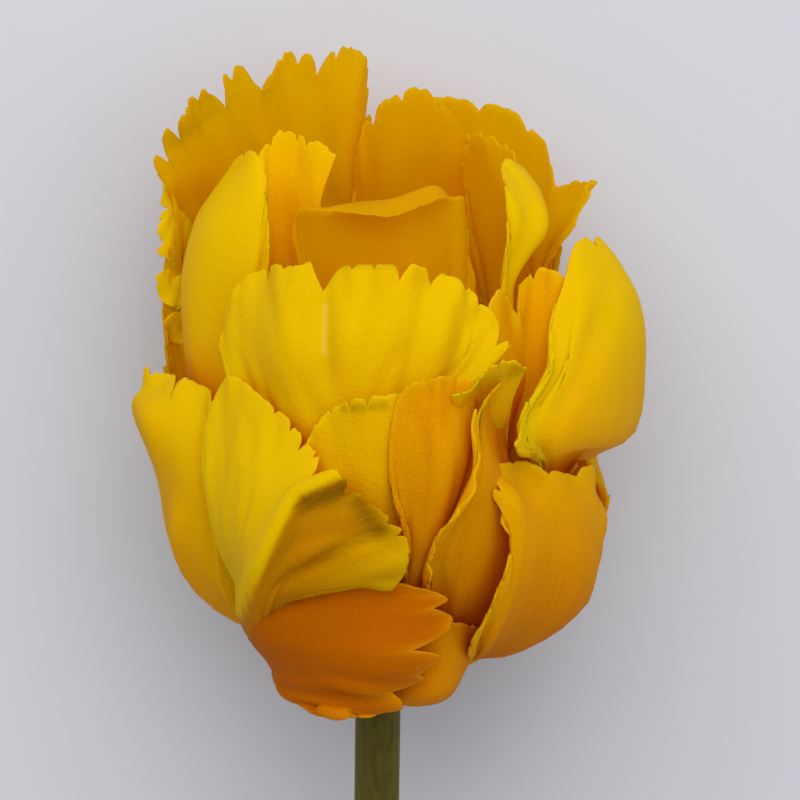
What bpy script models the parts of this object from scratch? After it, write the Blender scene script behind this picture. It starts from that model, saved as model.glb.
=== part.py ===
"""Cut double parrot tulip lying on its back petals: a bloom of ruffled petals with toothed edges on a stem.

Lengths are millimetres until a mesh is made. X is across the bloom, +Y from the stem to the bloom, +Z up.
"""
import math
import random

import bpy
import numpy as np
from mathutils import Vector
from mathutils.bvhtree import BVHTree

# Main sizes
MM = 0.001
PETAL_THICK = 0.8
PETAL_GAP = 1.35            # least distance between the middles of two petals
EDGE_GAP = 1.0              # the same beside an edge
TABLE = -28.6               # height of the surface it lies on, from the bloom's root
PRESSED = 0.35              # what comes nearer than this to the surface lies flat on it
STEM_R = 3.1
STEM_END = (-3.6, -104.0)
LEAN = math.radians(17.0)   # how far the bloom's axis rises from the stem
BASE = np.array([-0.3, 4.0, 0.0])
AXIS = np.array([0.0, math.cos(LEAN), math.sin(LEAN)])
FRONT = np.array([0.0, -math.sin(LEAN), math.cos(LEAN)])
RIGHT = np.array([1.0, 0.0, 0.0])

# Petal grid
ROWS = 8
FIRST_ROW = 0.015
EVENING = (0, 12, 10, 7, 4, 2, 1, 0)    # how far each row's bending is evened out across the petal
HEART_LOW = 22.0             # the bloom's heart line runs between these heights on its axis
HEART_HIGH = 95.0
ROOT_HALF = 1.1
CLAW_HALF = 2.9
SPREAD = 0.6                # how fast the veins spread from the root
ROOT_SHARE = 0.3            # share of their spread that they have there already
SIDE_ROW = 1.6              # row of a petal's net where its sides begin

# Each petal: the blade's place in the order from the outermost, root azimuth (0 up, 90 right), root tier,
# claw azimuth, squareness of the tip, depth of the margin's lobes, ruffle in mm, waves, and the blade's rows.
PETALS = {
    "petal_front_keeled": (0, -100, 0, -86, 0.34, 0.03, 0.5, 2.6, [
        [(-20.2, 18.5, 13.5), (-20.5, 14, 19.5), (-19.5, 10.5, 25), (-17.5, 11.5, 26), (-15, 13.5, 25)],
        [(-22.3, 30.5, 19.5), (-18.5, 28.5, 26), (-12.5, 25, 33), (-7.5, 20.5, 32.5), (-5, 15.8, 29)],
        [(-22.5, 44.5, 16), (-15.5, 40.5, 25), (-4, 31.5, 35), (2.8, 24.5, 35), (4.5, 17.5, 31)],
    ]),
    "petal_bottom_front": (0.2, -45, 0, -62, 0.34, 0.05, 0.5, 2.2, [
        [(-12, 2, 13), (-17, 8, 13.5), (-17, 14.5, 17)],
        [(-8.5, 0.8, 19), (-9.5, 8, 24), (-9, 16, 25)],
        [(-2, 0.2, 21), (0, 8, 28), (2, 17, 28.5)],
        [(3.5, 0.5, 20), (9.3, 9, 27), (10.5, 17.3, 28)],
    ]),
    "petal_bottom_right": (0.5, 10, 0, 16, 0.42, 0.04, 0.5, 2.4, [
        [(-1, 4, 21.5), (6.3, 4.3, 20.8), (13.4, 9.6, 16.2)],
        [(-3, 13, 24.5), (3, 13, 25.3), (10, 13.4, 24)],
    ]),
    "petal_left_outer": (0.6, -120, 1, -106, 0.42, 0.04, 0.8, 3.1, [
        [(-24, 21, -9), (-28, 18.8, -1), (-26.3, 16.8, 7), (-21.5, 17, 11)],
        [(-25.5, 29, -8), (-28.8, 27.8, 3), (-26, 28, 13.5), (-21, 28, 18)],
        [(-30, 40, -5), (-33.6, 40, 4), (-28.5, 39, 13), (-21, 39, 17)],
        [(-29.5, 43.5, -3), (-32, 44.5, 4), (-27, 45, 10), (-21, 45, 14)],
    ]),
    "petal_right_low": (0.4, 60, 1, 60, 0.42, 0.05, 0.8, 3.3, [
        [(11, 10.5, 22), (23, 11, 13), (22, 14, 3)],
        [(15.5, 18.5, 28), (28, 19, 16), (26, 21, 3)],
        [(16.5, 27, 30), (28, 27.5, 17), (27.3, 29, 4)],
        [(13.5, 33.2, 30.5), (25.5, 33, 19.5), (25.5, 33.2, 6)],
    ]),
    "petal_right_back_low": (0.35, 90, 0, 106, 0.42, 0.04, 0.8, 3, [
        [(26, 21, 1), (28.5, 22, -10), (22.5, 22, -19)],
        [(30.2, 29, 3), (31, 30, -10), (25, 31, -21)],
        [(28, 34, 1), (28.5, 35, -10), (24, 37, -20)],
    ]),
    "petal_back_left_low": (0.65, -155, 0, -152, 0.42, 0.04, 0.8, 3.2, [
        [(-4, 26, -24.5), (-15, 25, -24), (-23, 24, -14)],
        [(-5, 42, -27.6), (-16, 43, -29), (-26, 40, -15)],
        [(-6, 52, -27), (-16, 55, -27), (-26, 50, -13)],
    ]),
    "petal_back_right_low": (0.9, 150, 0, 155, 0.42, 0.04, 0.8, 3.4, [
        [(18, 25, -19), (9, 26, -26), (-1, 26, -26)],
        [(20, 42, -23.5), (9.5, 43, -32), (-1, 42, -29.5)],
        [(20, 52, -22), (9, 55, -30.5), (-1, 54, -27)],
    ]),
    "petal_right_big": (0.15, 120, 1, 115, 0.42, 0.04, 0.8, 3.6, [
        [(26, 34, -11), (26.5, 33, -1), (24.5, 32.5, 13), (20.5, 32.5, 21.5)],
        [(28.5, 43, -12), (34.6, 41, 3), (29.5, 37.5, 19), (14.3, 35.4, 32)],
        [(29.5, 53, -11), (36, 50, 4), (32, 48, 17), (23.5, 46, 23)],
        [(28, 61, -7), (34.3, 58, 5), (31, 57, 14), (24.5, 55, 18.5)],
        [(26.5, 66, -2), (30.5, 63.5, 5), (28, 62.5, 10), (25, 61, 13)],
    ]),
    "petal_front_right": (1.1, 0, 1, 24, 0.42, 0.04, 0.6, 2.5, [
        [(5.5, 13.5, 20), (12, 12.5, 19.8), (17.5, 13.5, 14.5)],
        [(5.5, 19.5, 28), (12.5, 20, 27), (19, 20, 21)],
        [(10, 28.5, 34), (15, 30.5, 30), (17.5, 29, 25.5)],
        [(13, 39.5, 34), (15.5, 40, 29), (16.5, 39.5, 25)],
    ]),
    "petal_front_spoon": (1.2, 25, 2, 14, 0.42, 0.03, 0.4, 2, [
        [(4.2, 20, 29), (6.2, 20, 30), (8.5, 21, 28.5)],
        [(1.7, 31, 34), (7.5, 31, 37), (13, 31, 33)],
        [(2, 41.3, 34), (8, 41.7, 37), (15, 42.3, 32)],
    ]),
    "petal_front_mid": (1.3, -60, 1, -28, 0.42, 0.04, 0.6, 2.7, [
        [(-10, 24, 28), (-1, 24, 30), (5, 23.5, 27.5)],
        [(-10, 34, 30), (-1, 34, 33.5), (7, 34, 32)],
        [(-9, 41, 30), (-1, 42.5, 34), (7, 42, 33)],
    ]),
    "petal_left_tall": (2.25, -80, 3, -86, 0.36, 0.03, 0.8, 3.5, [
        [(-19.5, 36, -7), (-24, 35, 0), (-21.5, 35, 9), (-17, 36, 13)],
        [(-21, 53, -6), (-28.3, 53, 1), (-24.5, 53, 12), (-16, 54, 16)],
        [(-21.5, 66, -3), (-27, 66, 3), (-22, 66, 13), (-15.3, 67, 16)],
        [(-20.5, 71.5, -1), (-21.5, 73, 4), (-18.5, 75, 9), (-14.8, 76, 12)],
    ]),
    "petal_back_left_fringe": (1.4, -120, 2, -135, 0.3, 0.05, 1, 3.4, [
        [(-6, 36, -23), (-18, 37, -19), (-26.5, 37, -8)],
        [(-6, 55, -24), (-20, 56, -19), (-30.5, 52, -5)],
        [(-7, 72, -20), (-20, 73, -15), (-31, 70.5, -2)],
    ]),
    "petal_back_right_tall": (1.45, 180, 1, 172, 0.36, 0.03, 0.8, 3.1, [
        [(9, 22, -13), (4, 22, -16.5), (-2, 22, -17)],
        [(22, 42, -15.5), (11, 42, -23), (-1, 42, -24)],
        [(24.5, 62, -13), (12, 64, -21), (-1, 64, -22)],
        [(24.5, 76.5, -7), (14, 83, -13), (-2, 82.5, -15)],
    ]),
    "petal_top_fan": (2, -150, 3, -152, 0.28, 0.06, 1.2, 3.8, [
        [(-21, 44, -10), (-12, 44, -15.5), (-1.5, 44, -17.5)],
        [(-25, 63, -7), (-13, 64, -12.5), (-2, 65, -14.5)],
        [(-30.5, 74, 0), (-16, 77, -8), (-1.5, 77, -10.5)],
        [(-30.5, 77.5, 4), (-16.5, 84.5, -5), (2, 95, -9)],
    ]),
    "petal_inner_back": (2.3, 155, 3, 163, 0.42, 0.04, 0.8, 3, [
        [(15, 44, -13.5), (7, 44, -16), (-4, 44, -15)],
        [(16, 64, -11), (7, 65, -14), (-4, 65, -12.5)],
        [(13, 76, -8), (6, 80, -9), (-5, 79.5, -8)],
    ]),
    "petal_inner_back_right": (2.55, 100, 3, 120, 0.42, 0.04, 0.8, 3.2, [
        [(19.5, 42, 3), (20, 44, -5), (14.5, 44, -11.5)],
        [(20.5, 60, 3), (20.5, 62, -4), (13.5, 64, -9.5)],
        [(22.5, 70, 4), (18, 76, -1), (10, 79.5, -6)],
    ]),
    "petal_upper_front": (2.2, -35, 2, -22, 0.3, 0.04, 0.8, 3.7, [
        [(-15, 30, 21), (-5, 29, 27), (6, 30, 26)],
        [(-20, 42, 20), (-7, 39.5, 31), (9, 41, 29)],
        [(-21.8, 50, 18), (-8, 49.5, 32), (16.5, 48.5, 26.5)],
        [(-20, 56.5, 17), (-7, 59.5, 30), (14.5, 54.5, 24)],
    ]),
    "petal_inner_right_curl": (2.8, 50, 3, 75, 0.42, 0.04, 0.5, 2.6, [
        [(15, 44, 14), (17.5, 44, 11), (17.5, 44, 5.5)],
        [(16.5, 56, 15.5), (18, 57, 12.5), (17.5, 57, 6.5)],
        [(17.5, 66, 17), (23.5, 66, 12), (21, 66, 4)],
        [(13.5, 75, 12), (18.5, 74, 9), (21.5, 71, 4)],
    ]),
    "petal_inner_right_flap": (2.4, 85, 2, 101, 0.42, 0.04, 0.6, 2.8, [
        [(21.5, 44, 6), (23, 45, -2), (19.5, 46, -10)],
        [(21, 59, 8), (23.5, 60, 0), (20.5, 63, -8)],
        [(25, 66, 10), (30.5, 71, 4), (23.5, 74, -5)],
    ]),
    "petal_inner_right_front": (2.7, 0, 3, 35, 0.42, 0.05, 0.6, 2.9, [
        [(12.5, 32, 20), (16, 32, 17), (18, 32, 12)],
        [(14, 43, 22), (18.5, 43, 18), (21, 42, 11)],
        [(13, 54, 21), (17.5, 53, 17), (21, 50, 12)],
    ]),
    "petal_inner_rolled": (3, -20, 4, 0, 0.34, 0.02, 0.4, 2.6, [
        [(-8, 36, 12), (1, 35, 15), (9.5, 36, 12)],
        [(-9.5, 54, 13), (1, 54, 18), (12, 55, 13)],
        [(-11, 66, 12), (0, 68, 18), (10.5, 70, 13)],
        [(-10.5, 68.5, 16), (0, 66.5, 23), (9.5, 69.5, 18)],
    ]),
}


# Blades that hang over their neighbours: row where that starts, and the place in the order before it
HANGING = {
    "petal_right_big": (2.35, 1.45),
}


def cup_point(azimuth, radius, height):
    """Point round the bloom's axis; azimuth 0 faces up and 90 right."""
    turn = math.radians(azimuth)
    return BASE + height * AXIS + radius * (math.cos(turn) * FRONT + math.sin(turn) * RIGHT)


def cup_place(points):
    """Distance from the bloom's axis, height along it, and unit direction away from it."""
    away = points - BASE
    height = away @ AXIS
    radial = away - height[..., None] * AXIS
    radius = np.linalg.norm(radial, axis=-1)
    return radius, height, radial / np.maximum(radius, 1e-6)[..., None]


def blend_weights(place, count):
    """Smooth spline weights of count even points at places 0 to count - 1."""
    place = np.clip(np.asarray(place, float), 0, count - 0.6)
    low = np.minimum(place.astype(int), count - 2)
    f = place - low
    four = [
        -0.5 * f + f**2 - 0.5 * f**3,
        1 - 2.5 * f**2 + 1.5 * f**3,
        0.5 * f + 2 * f**2 - 1.5 * f**3,
        -0.5 * f**2 + 0.5 * f**3,
    ]
    weights = np.zeros((len(place), count + 2))
    for k in range(4):
        weights[np.arange(len(place)), low + k] += four[k]
    weights[:, 1] += 2 * weights[:, 0]
    weights[:, 2] -= weights[:, 0]
    weights[:, count] += 2 * weights[:, count + 1]
    weights[:, count - 1] -= weights[:, count + 1]
    return weights[:, 1:count + 1]


def blend(net, row, column):
    """Points of a net at places along its rows and columns."""
    by_row = blend_weights(np.ravel(row), net.shape[0])
    by_column = blend_weights(np.ravel(column), net.shape[1])
    points = np.einsum("nr,nc,rcx->nx", by_row, by_column, net)
    return points.reshape(np.shape(row) + (3,))


def fan(vein, share, square, side):
    """Place across (-1 to 1) and up (0 to 1) at a share of the way along a vein that fans from the root."""
    across = np.sign(vein) * np.abs(np.sin(np.pi * vein / 2))**square
    up = side + (1 - side) * np.abs(np.cos(np.pi * vein / 2))**square
    return across * (ROOT_SHARE + (1 - ROOT_SHARE) * share**SPREAD), up * share


def net_with_claw(azimuth, tier, claw_azimuth, rows):
    """Adds the row where the petal leaves the receptacle and the row across its claw."""
    count = len(rows[0])
    ring = 5.2 - 0.45 * tier
    claw_ring = 14.5 - 1.7 * tier
    half = math.degrees(ROOT_HALF / ring)
    claw_half = math.degrees(CLAW_HALF / claw_ring)
    spread = np.linspace(-1, 1, count)
    root = [cup_point(azimuth + half * q, ring, 0.6 + 1.45 * tier) for q in spread]
    claw = [cup_point(claw_azimuth + claw_half * q, claw_ring, 3.0 + 1.9 * tier) for q in spread]
    across = np.array(rows[0][-1], float) - np.array(rows[0][0], float)
    if (claw[-1] - claw[0]) @ across < 0:
        root.reverse()
        claw.reverse()
    return np.array([root, claw] + [[np.array(p, float) for p in row] for row in rows])


def grid_normals(grid):
    across = np.gradient(grid, axis=0)
    along = np.gradient(grid, axis=1)
    normals = np.cross(across, along)
    return normals / np.maximum(np.linalg.norm(normals, axis=2, keepdims=True), 1e-9)


def petal_grid(name):
    """Veins x rows of points on the petal's middle surface, the sign that turns normals outward, and places."""
    order, azimuth, tier, claw_azimuth, square, lobes, ruffle, waves, rows = PETALS[name]
    chance = random.Random(name)
    net = net_with_claw(azimuth, tier, claw_azimuth, rows)
    trial = np.sin(np.linspace(-math.pi / 2, math.pi / 2, 601))
    trial = np.unique(np.concatenate([trial, np.linspace(-1, 1, 601)**3]))
    side = SIDE_ROW / (net.shape[0] - 1)
    s, t = fan(trial, np.ones_like(trial), square, side)
    edge = blend(net, t * (net.shape[0] - 1), (s + 1) / 2 * (net.shape[1] - 1))
    run = np.concatenate([[0], np.cumsum(np.linalg.norm(np.diff(edge, axis=0), axis=1))])
    veins = int(np.clip(2 * round(run[-1] / 19) + 3, 13, 19))
    even = np.linspace(0, 1, veins)
    vein = np.interp(even * run[-1], run, trial)
    phase = chance.uniform(0, 2 * math.pi)
    reach = 1.04 + lobes * np.sin(2 * math.pi * (waves - 0.7) * even + phase + 1.3)
    share = np.linspace(0, 1, ROWS)[None, :]
    share = FIRST_ROW + (reach[:, None] - FIRST_ROW) * (1 - (1 - share)**1.15)
    s, t = fan(vein[:, None], share, square, side)
    grid = blend(net, t * (net.shape[0] - 1), (s + 1) / 2 * (net.shape[1] - 1))
    normals = grid_normals(grid)
    radial = cup_place(grid)[2]
    outward = 1.0 if (normals * radial)[:, 1:4].sum() > 0 else -1.0
    near_edge = np.clip((share - 0.6) / 0.4, 0, 1)**1.5
    taper = np.clip(np.minimum(even, 1 - even) / 0.16, 0, 1)
    wave = (taper * np.sin(2 * math.pi * waves * even + phase))[:, None]
    swell = (near_edge * wave)[..., None]
    row = t * (net.shape[0] - 1)
    change, under = HANGING.get(name, (0, order))
    place = np.where(row > change, order, under) + 100j * (row < 1.3) * (tier + 1)
    return grid + normals * outward * swell * ruffle, outward, place


def grid_triangles(veins, rows):
    triangles = []
    for i in range(veins - 1):
        for k in range(rows - 1):
            a = i * rows + k
            triangles.append((a, a + 1, a + rows + 1))
            triangles.append((a, a + rows + 1, a + rows))
    return triangles


def core_radius(height):
    """Room kept at the middle for the stem, receptacle, pistil and stamens."""
    heights = [-8, -1, 0.6, 7, 9, 13, 17, 28, 34]
    return np.interp(height, heights, [4.2, 4.4, 4.9, 3.6, 5.6, 6.8, 8.3, 8.3, 0])


def from_heart(points):
    """Nearest point of the bloom's heart line, and the unit direction and distance away from it."""
    height = (points - BASE) @ AXIS
    heart = BASE + np.clip(height, HEART_LOW, HEART_HIGH)[..., None] * AXIS
    away = points - heart
    distance = np.linalg.norm(away, axis=-1)
    return heart, away / np.maximum(distance, 1e-6)[..., None], distance


def room_lack(point, heart, ray, distance, tree, far):
    """How far a point is past another petal, along the ray from the heart: found face, its distance, slant."""
    found, normal, face, hit = tree.ray_cast(Vector(heart), Vector(ray), distance + far)
    if found is not None:
        slant = abs(normal.x * ray[0] + normal.y * ray[1] + normal.z * ray[2])
        return face, hit, max(slant, 0.35)
    found, normal, face, hit = tree.find_nearest(Vector(point), EDGE_GAP)
    if found is not None:
        return face, None, hit
    return None, None, None


def evened(line, passes):
    """A line of points evened out along itself."""
    for _ in range(passes):
        padded = np.pad(line, ((1, 1), (0, 0)), mode="edge")
        line = (padded[:-2] + 2 * padded[1:-1] + padded[2:]) / 4
    return line


def ease_apart(grids, places, rounds):
    """Bends petals until each lies inside the ones outside it, keeping each petal's form."""
    names = list(grids)
    start = {name: grids[name].copy() for name in names}
    triangles = {name: grid_triangles(*grids[name].shape[:2]) for name in names}
    for turn in range(rounds):
        flat = {name: grids[name].reshape(-1, 3) for name in names}
        trees = {name: BVHTree.FromPolygons(flat[name].tolist(), triangles[name]) for name in names}
        push = {name: np.zeros_like(flat[name]) for name in names}
        hits = {name: np.full(len(flat[name]), 1e-6) for name in names}
        worst = 0.0
        for one in names:
            hearts, rays, distances = from_heart(flat[one])
            place = places[one].ravel()
            for other in names:
                if one == other:
                    continue
                facing = places[other].ravel()
                if PETALS[one][0] == PETALS[other][0]:
                    raise ValueError("two petals have one place")
                ease_one = 0.3 + PETALS[one][0]
                ease_other = 0.3 + PETALS[other][0]
                share = ease_one / (ease_one + ease_other)
                low = flat[other].min(axis=0) - 6
                high = flat[other].max(axis=0) + 6
                near = np.nonzero(np.all((flat[one] > low) & (flat[one] < high), axis=1))[0]
                for k in near:
                    found = room_lack(flat[one][k], hearts[k], rays[k], distances[k], trees[other], 6.0)
                    face, hit, measure = found
                    if face is None:
                        continue
                    corners = triangles[other][face]
                    mine, theirs = place[k], facing[corners[0]]
                    if mine.imag and theirs.imag and mine.imag != theirs.imag:
                        side = 1.0 if mine.imag < theirs.imag else -1.0
                    else:
                        side = 1.0 if mine.real < theirs.real else -1.0
                    if hit is None:
                        lack = EDGE_GAP - measure
                    else:
                        lack = PETAL_GAP / measure - (distances[k] - hit) * side
                        if lack > 9:
                            continue
                    if lack <= 0.02:
                        continue
                    worst = max(worst, lack)
                    move = side * rays[k] * lack
                    push[one][k] += share * move * lack
                    hits[one][k] += lack
                    for corner in corners:
                        push[other][corner] -= (1 - share) * move * lack
                        hits[other][corner] += lack
        for name in names:
            shape = grids[name].shape
            step = (push[name] / hits[name][:, None]).reshape(shape)
            shift = grids[name] + 0.7 * step - start[name]
            padded = np.pad(shift, ((1, 1), (1, 1), (0, 0)), mode="edge")
            around = (padded[:-2, 1:-1] + padded[2:, 1:-1] + padded[1:-1, :-2] + padded[1:-1, 2:]) / 4
            shift = shift + 0.2 * (around - shift)
            for k in range(1, ROWS - 1):
                shift[:, k] = evened(shift[:, k], EVENING[k])
            shift[:, 0] = 0
            moved = start[name] + shift
            radius, height, radial = cup_place(moved)
            short = np.maximum(core_radius(height) + PETAL_THICK / 2 - radius, 0)
            short[:, 0] = 0
            moved = moved + radial * short[..., None]
            moved[..., 2] = np.maximum(moved[..., 2], TABLE + PETAL_THICK / 2)
            grids[name] = moved
        if turn % 10 == 9 or turn == rounds - 1:
            print("round", turn + 1, "largest lack of room", round(worst, 2))
    return grids


def new_object(name, points, faces, material):
    mesh = bpy.data.meshes.new(name)
    mesh.from_pydata([tuple(p * MM) for p in points], [], faces)
    mesh.update()
    thing = bpy.data.objects.new(name, mesh)
    thing.data.materials.append(material)
    tulip.objects.link(thing)
    return thing


def make_petal(name, grid, outward):
    """Thick blade: even veins and rows inside, and a tooth on each side of every vein at the margin."""
    chance = random.Random(name + " teeth")
    veins, rows = grid.shape[:2]
    points = []
    places = []
    for i in range(veins):
        for k in range(rows - 1):
            places.append((i, k))
    first_tooth = len(places)
    for m in range(2 * veins - 1):
        depth = chance.uniform(0.18, 0.42) if m % 2 == 0 else chance.uniform(-0.16, -0.04)
        places.append((m / 2, rows - 1 - depth))
    places = np.array(places)
    middle = blend(grid, places[:, 0], places[:, 1])
    facing = grid_normals(grid)
    for k in range(rows):
        facing[:, k] = evened(facing[:, k], 1 + EVENING[k] // 2)
    normals = blend(facing, places[:, 0], places[:, 1]) * outward
    normals = normals / np.maximum(np.linalg.norm(normals, axis=1), 0.7)[:, None]
    lying = middle[:, 2] < TABLE + PETAL_THICK / 2 + PRESSED
    normals[lying] = (0, 0, -1)
    middle[lying, 2] = TABLE + PETAL_THICK / 2
    half = PETAL_THICK / 2
    points = np.concatenate([middle + normals * half, middle - normals * half])
    count = len(middle)
    inner = rows - 1
    skin = []
    for i in range(veins - 1):
        for k in range(inner - 1):
            a = i * inner + k
            skin.append((a, a + 1, a + inner + 1))
            skin.append((a, a + inner + 1, a + inner))
        a = i * inner + inner - 1
        b = a + inner
        m = first_tooth + 2 * i
        skin.append((a, m, m + 1))
        skin.append((a, m + 1, b))
        skin.append((b, m + 1, m + 2))
    rim = [i * inner for i in range(veins)]
    rim += [(veins - 1) * inner + k for k in range(1, inner)]
    rim += [first_tooth + m for m in range(2 * veins - 2, -1, -1)]
    rim += [k for k in range(inner - 1, 0, -1)]
    faces = []
    for a, b, c in skin:
        top = (a, c, b) if outward > 0 else (a, b, c)
        faces.append(top)
        faces.append(tuple(count + p for p in reversed(top)))
    for a, b in zip(rim, rim[1:] + rim[:1]):
        if outward > 0:
            faces.append((a, count + b, b))
            faces.append((a, count + a, count + b))
        else:
            faces.append((b, count + a, a))
            faces.append((b, count + b, count + a))
    return new_object(name, points, faces, petal_yellow)


def loft(name, path, radii, sides, material, lobes=0, lobe_depth=0.0):
    """Closed body round a path of points, with the radius at each one."""
    path = np.array(path, float)
    along = np.gradient(path, axis=0)
    along = along / np.linalg.norm(along, axis=1)[:, None]
    points = []
    for centre, forward, radius in zip(path, along, radii):
        across = np.cross(forward, FRONT)
        across = across / np.linalg.norm(across)
        level = np.cross(across, forward)
        for k in range(sides):
            turn = 2 * math.pi * k / sides
            reach = radius * (1 + lobe_depth * math.cos(lobes * turn))
            points.append(centre + reach * (math.cos(turn) * across + math.sin(turn) * level))
    faces = []
    for ring in range(len(path) - 1):
        for k in range(sides):
            a = ring * sides + k
            b = ring * sides + (k + 1) % sides
            faces.append((a, a + sides, b + sides, b))
    faces.append(tuple(range(sides)))
    faces.append(tuple((len(path) - 1) * sides + k for k in range(sides - 1, -1, -1)))
    return new_object(name, np.array(points), faces, material)


def plain_material(name, colour, roughness):
    material = bpy.data.materials.new(name)
    material.use_nodes = True
    shader = material.node_tree.nodes["Principled BSDF"]
    shader.inputs["Base Color"].default_value = (*colour, 1)
    shader.inputs["Roughness"].default_value = roughness
    return material


# Empty scene and materials
for old in list(bpy.data.objects):
    bpy.data.objects.remove(old, do_unlink=True)
tulip = bpy.data.collections.new("tulip")
bpy.context.scene.collection.children.link(tulip)
petal_yellow = plain_material("petal_yellow", (0.85, 0.58, 0.01), 0.5)
stem_green = plain_material("stem_green", (0.1, 0.13, 0.02), 0.5)
anther_dark = plain_material("anther_dark", (0.16, 0.1, 0.03), 0.7)
pistil_green = plain_material("pistil_green", (0.35, 0.42, 0.1), 0.55)

# Petals
grids = {}
outward = {}
places = {}
for petal in PETALS:
    grids[petal], outward[petal], places[petal] = petal_grid(petal)
grids = ease_apart(grids, places, 70)
for petal in PETALS:
    make_petal(petal, grids[petal], outward[petal])

# Stem with the receptacle at its top
stem_side, stem_low = STEM_END
end = np.array([stem_side, stem_low, TABLE + STEM_R])
lay = np.array([stem_side * 0.8, stem_low + 35, TABLE + STEM_R + 3.2])
neck = BASE - 2.0 * AXIS
stem_net = np.array([end, lay, neck - 34 * AXIS + np.array([-0.6, 0, 0.4]), neck])
stem_rings = 12
stem_path = list(blend_weights(np.linspace(0, 3, stem_rings), 4) @ stem_net)
stem_radii = [STEM_R] * stem_rings
for height, radius in [(-0.8, 3.5), (0.6, 4.45), (2.2, 4.0), (4.2, 3.4), (5.8, 2.9), (6.8, 1.9)]:
    stem_path.append(BASE + height * AXIS)
    stem_radii.append(radius)
loft("stem", stem_path, stem_radii, 16, stem_green)

# Pistil and stamens inside the bloom
pistil_path = [BASE + h * AXIS for h in (7.2, 9, 14, 20, 24, 25.5, 27, 27.8)]
loft("pistil", pistil_path, [1.4, 1.9, 2.5, 2.4, 1.9, 2.8, 2.9, 2.0], 12, pistil_green, 3, 0.12)
for number in range(6):
    turn = 60 * number + 20
    shape = [(2.9, 7.5, 0.7), (3.8, 9.5, 0.75), (4.3, 13, 0.65), (4.6, 17, 0.5)]
    shape += [(4.8, 18, 1.0), (4.9, 22, 1.2), (5.0, 26, 0.9)]
    path = [cup_point(turn, r, h) for r, h, _ in shape]
    loft("stamen_%d" % (number + 1), path, [w for _, _, w in shape], 8, anther_dark)

# Origin at the middle of the underside
everything = list(tulip.objects)
corners = np.array([v.co for thing in everything for v in thing.data.vertices])
low = corners.min(axis=0)
high = corners.max(axis=0)
shift = Vector(((low[0] + high[0]) / 2, (low[1] + high[1]) / 2, low[2]))
for thing in everything:
    for vertex in thing.data.vertices:
        vertex.co -= shift
    thing.data.update()
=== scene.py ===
"""Cut double parrot tulip lying on its back petals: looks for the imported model.

Lengths are millimetres until a mesh is made. The petals' rows and the easing are those of the part's source.
"""
import itertools
import math
import random
import bpy
import numpy as np
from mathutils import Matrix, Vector
from mathutils.bvhtree import BVHTree


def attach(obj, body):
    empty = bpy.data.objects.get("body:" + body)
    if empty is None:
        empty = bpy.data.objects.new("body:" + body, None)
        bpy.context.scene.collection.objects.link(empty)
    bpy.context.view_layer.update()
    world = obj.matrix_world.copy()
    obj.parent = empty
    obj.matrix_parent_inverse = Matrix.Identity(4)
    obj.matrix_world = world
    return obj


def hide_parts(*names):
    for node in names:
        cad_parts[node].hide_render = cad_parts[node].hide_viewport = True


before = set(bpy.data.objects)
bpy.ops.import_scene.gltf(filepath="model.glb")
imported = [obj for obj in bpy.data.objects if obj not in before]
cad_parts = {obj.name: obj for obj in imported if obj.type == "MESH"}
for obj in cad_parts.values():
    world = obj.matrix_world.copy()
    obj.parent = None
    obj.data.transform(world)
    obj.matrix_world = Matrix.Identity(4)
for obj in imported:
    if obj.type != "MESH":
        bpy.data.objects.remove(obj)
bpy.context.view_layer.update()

scene = bpy.context.scene

# Main sizes, as in the part's source
MM = 0.001
PETAL_THICK = 0.8
PETAL_GAP = 1.35            # least distance between the middles of two petals
EDGE_GAP = 1.0              # the same beside an edge
TABLE = -28.6               # height of the surface it lies on, from the bloom's root
LEAN = math.radians(17.0)   # how far the bloom's axis rises from the stem
BASE = np.array([-0.3, 4.0, 0.0])
AXIS = np.array([0.0, math.cos(LEAN), math.sin(LEAN)])
FRONT = np.array([0.0, -math.sin(LEAN), math.cos(LEAN)])
RIGHT = np.array([1.0, 0.0, 0.0])
SHIFT = np.array([1.0936, -6.2576, TABLE])   # middle of the solids, at the table

# The photo: size of a pixel, the pixel of the bloom's root, and the camera's place
PIXEL = 0.135
ROOT_PIXEL = (380, 712)
VIEW_X = 2.7
VIEW_Y = 42.12
CAMERA_HEIGHT = 762.0
CAMERA_AWAY = 750.0         # from the height that has the photo's scale
HIGHER_FIRST = 0.036        # how much a notch prefers the nearer of two margins

# Sizes of the fine petals
STEP = 0.36                 # between points along a margin
POINTS_ALONG = (120, 400)   # fewest and most of them
DOWN = 30                   # points from root to margin
BLADE = 0.55
RIM = 0.3
OFF_TABLE = 0.02
SHORTEST_ROW = 0.8
REACH = (-2.6, 0.9)         # rows that the margin may move in and out
ENDS = 0.14                 # share of the margin where its teeth fade at each end
BESIDE_NOTCHES = 0.45       # share of the fingers' depth where notches are given
FINGER_SHARP = 3.0
TOOTH_SHARP = 1.8
LONG_WAVE = 11.0
SHORT_WAVE = 4.0
FOLD = 22.0
PUCKER = 9.0
MARGIN_TINT = 2.2           # how far colour reaches in
RIM_TINT = 0.45
UV_MM = 40
LOBE_VEINS = 15
LOBE_CLEAR = 3
CLEAR = 8.0                 # how far away other petals are looked for

# Directions of the open sky, the lowest of them, and how far away others may shade
SKY_WAYS = 40
LOWEST_SKY = -0.3
SKY_FAR = 60.0

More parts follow.
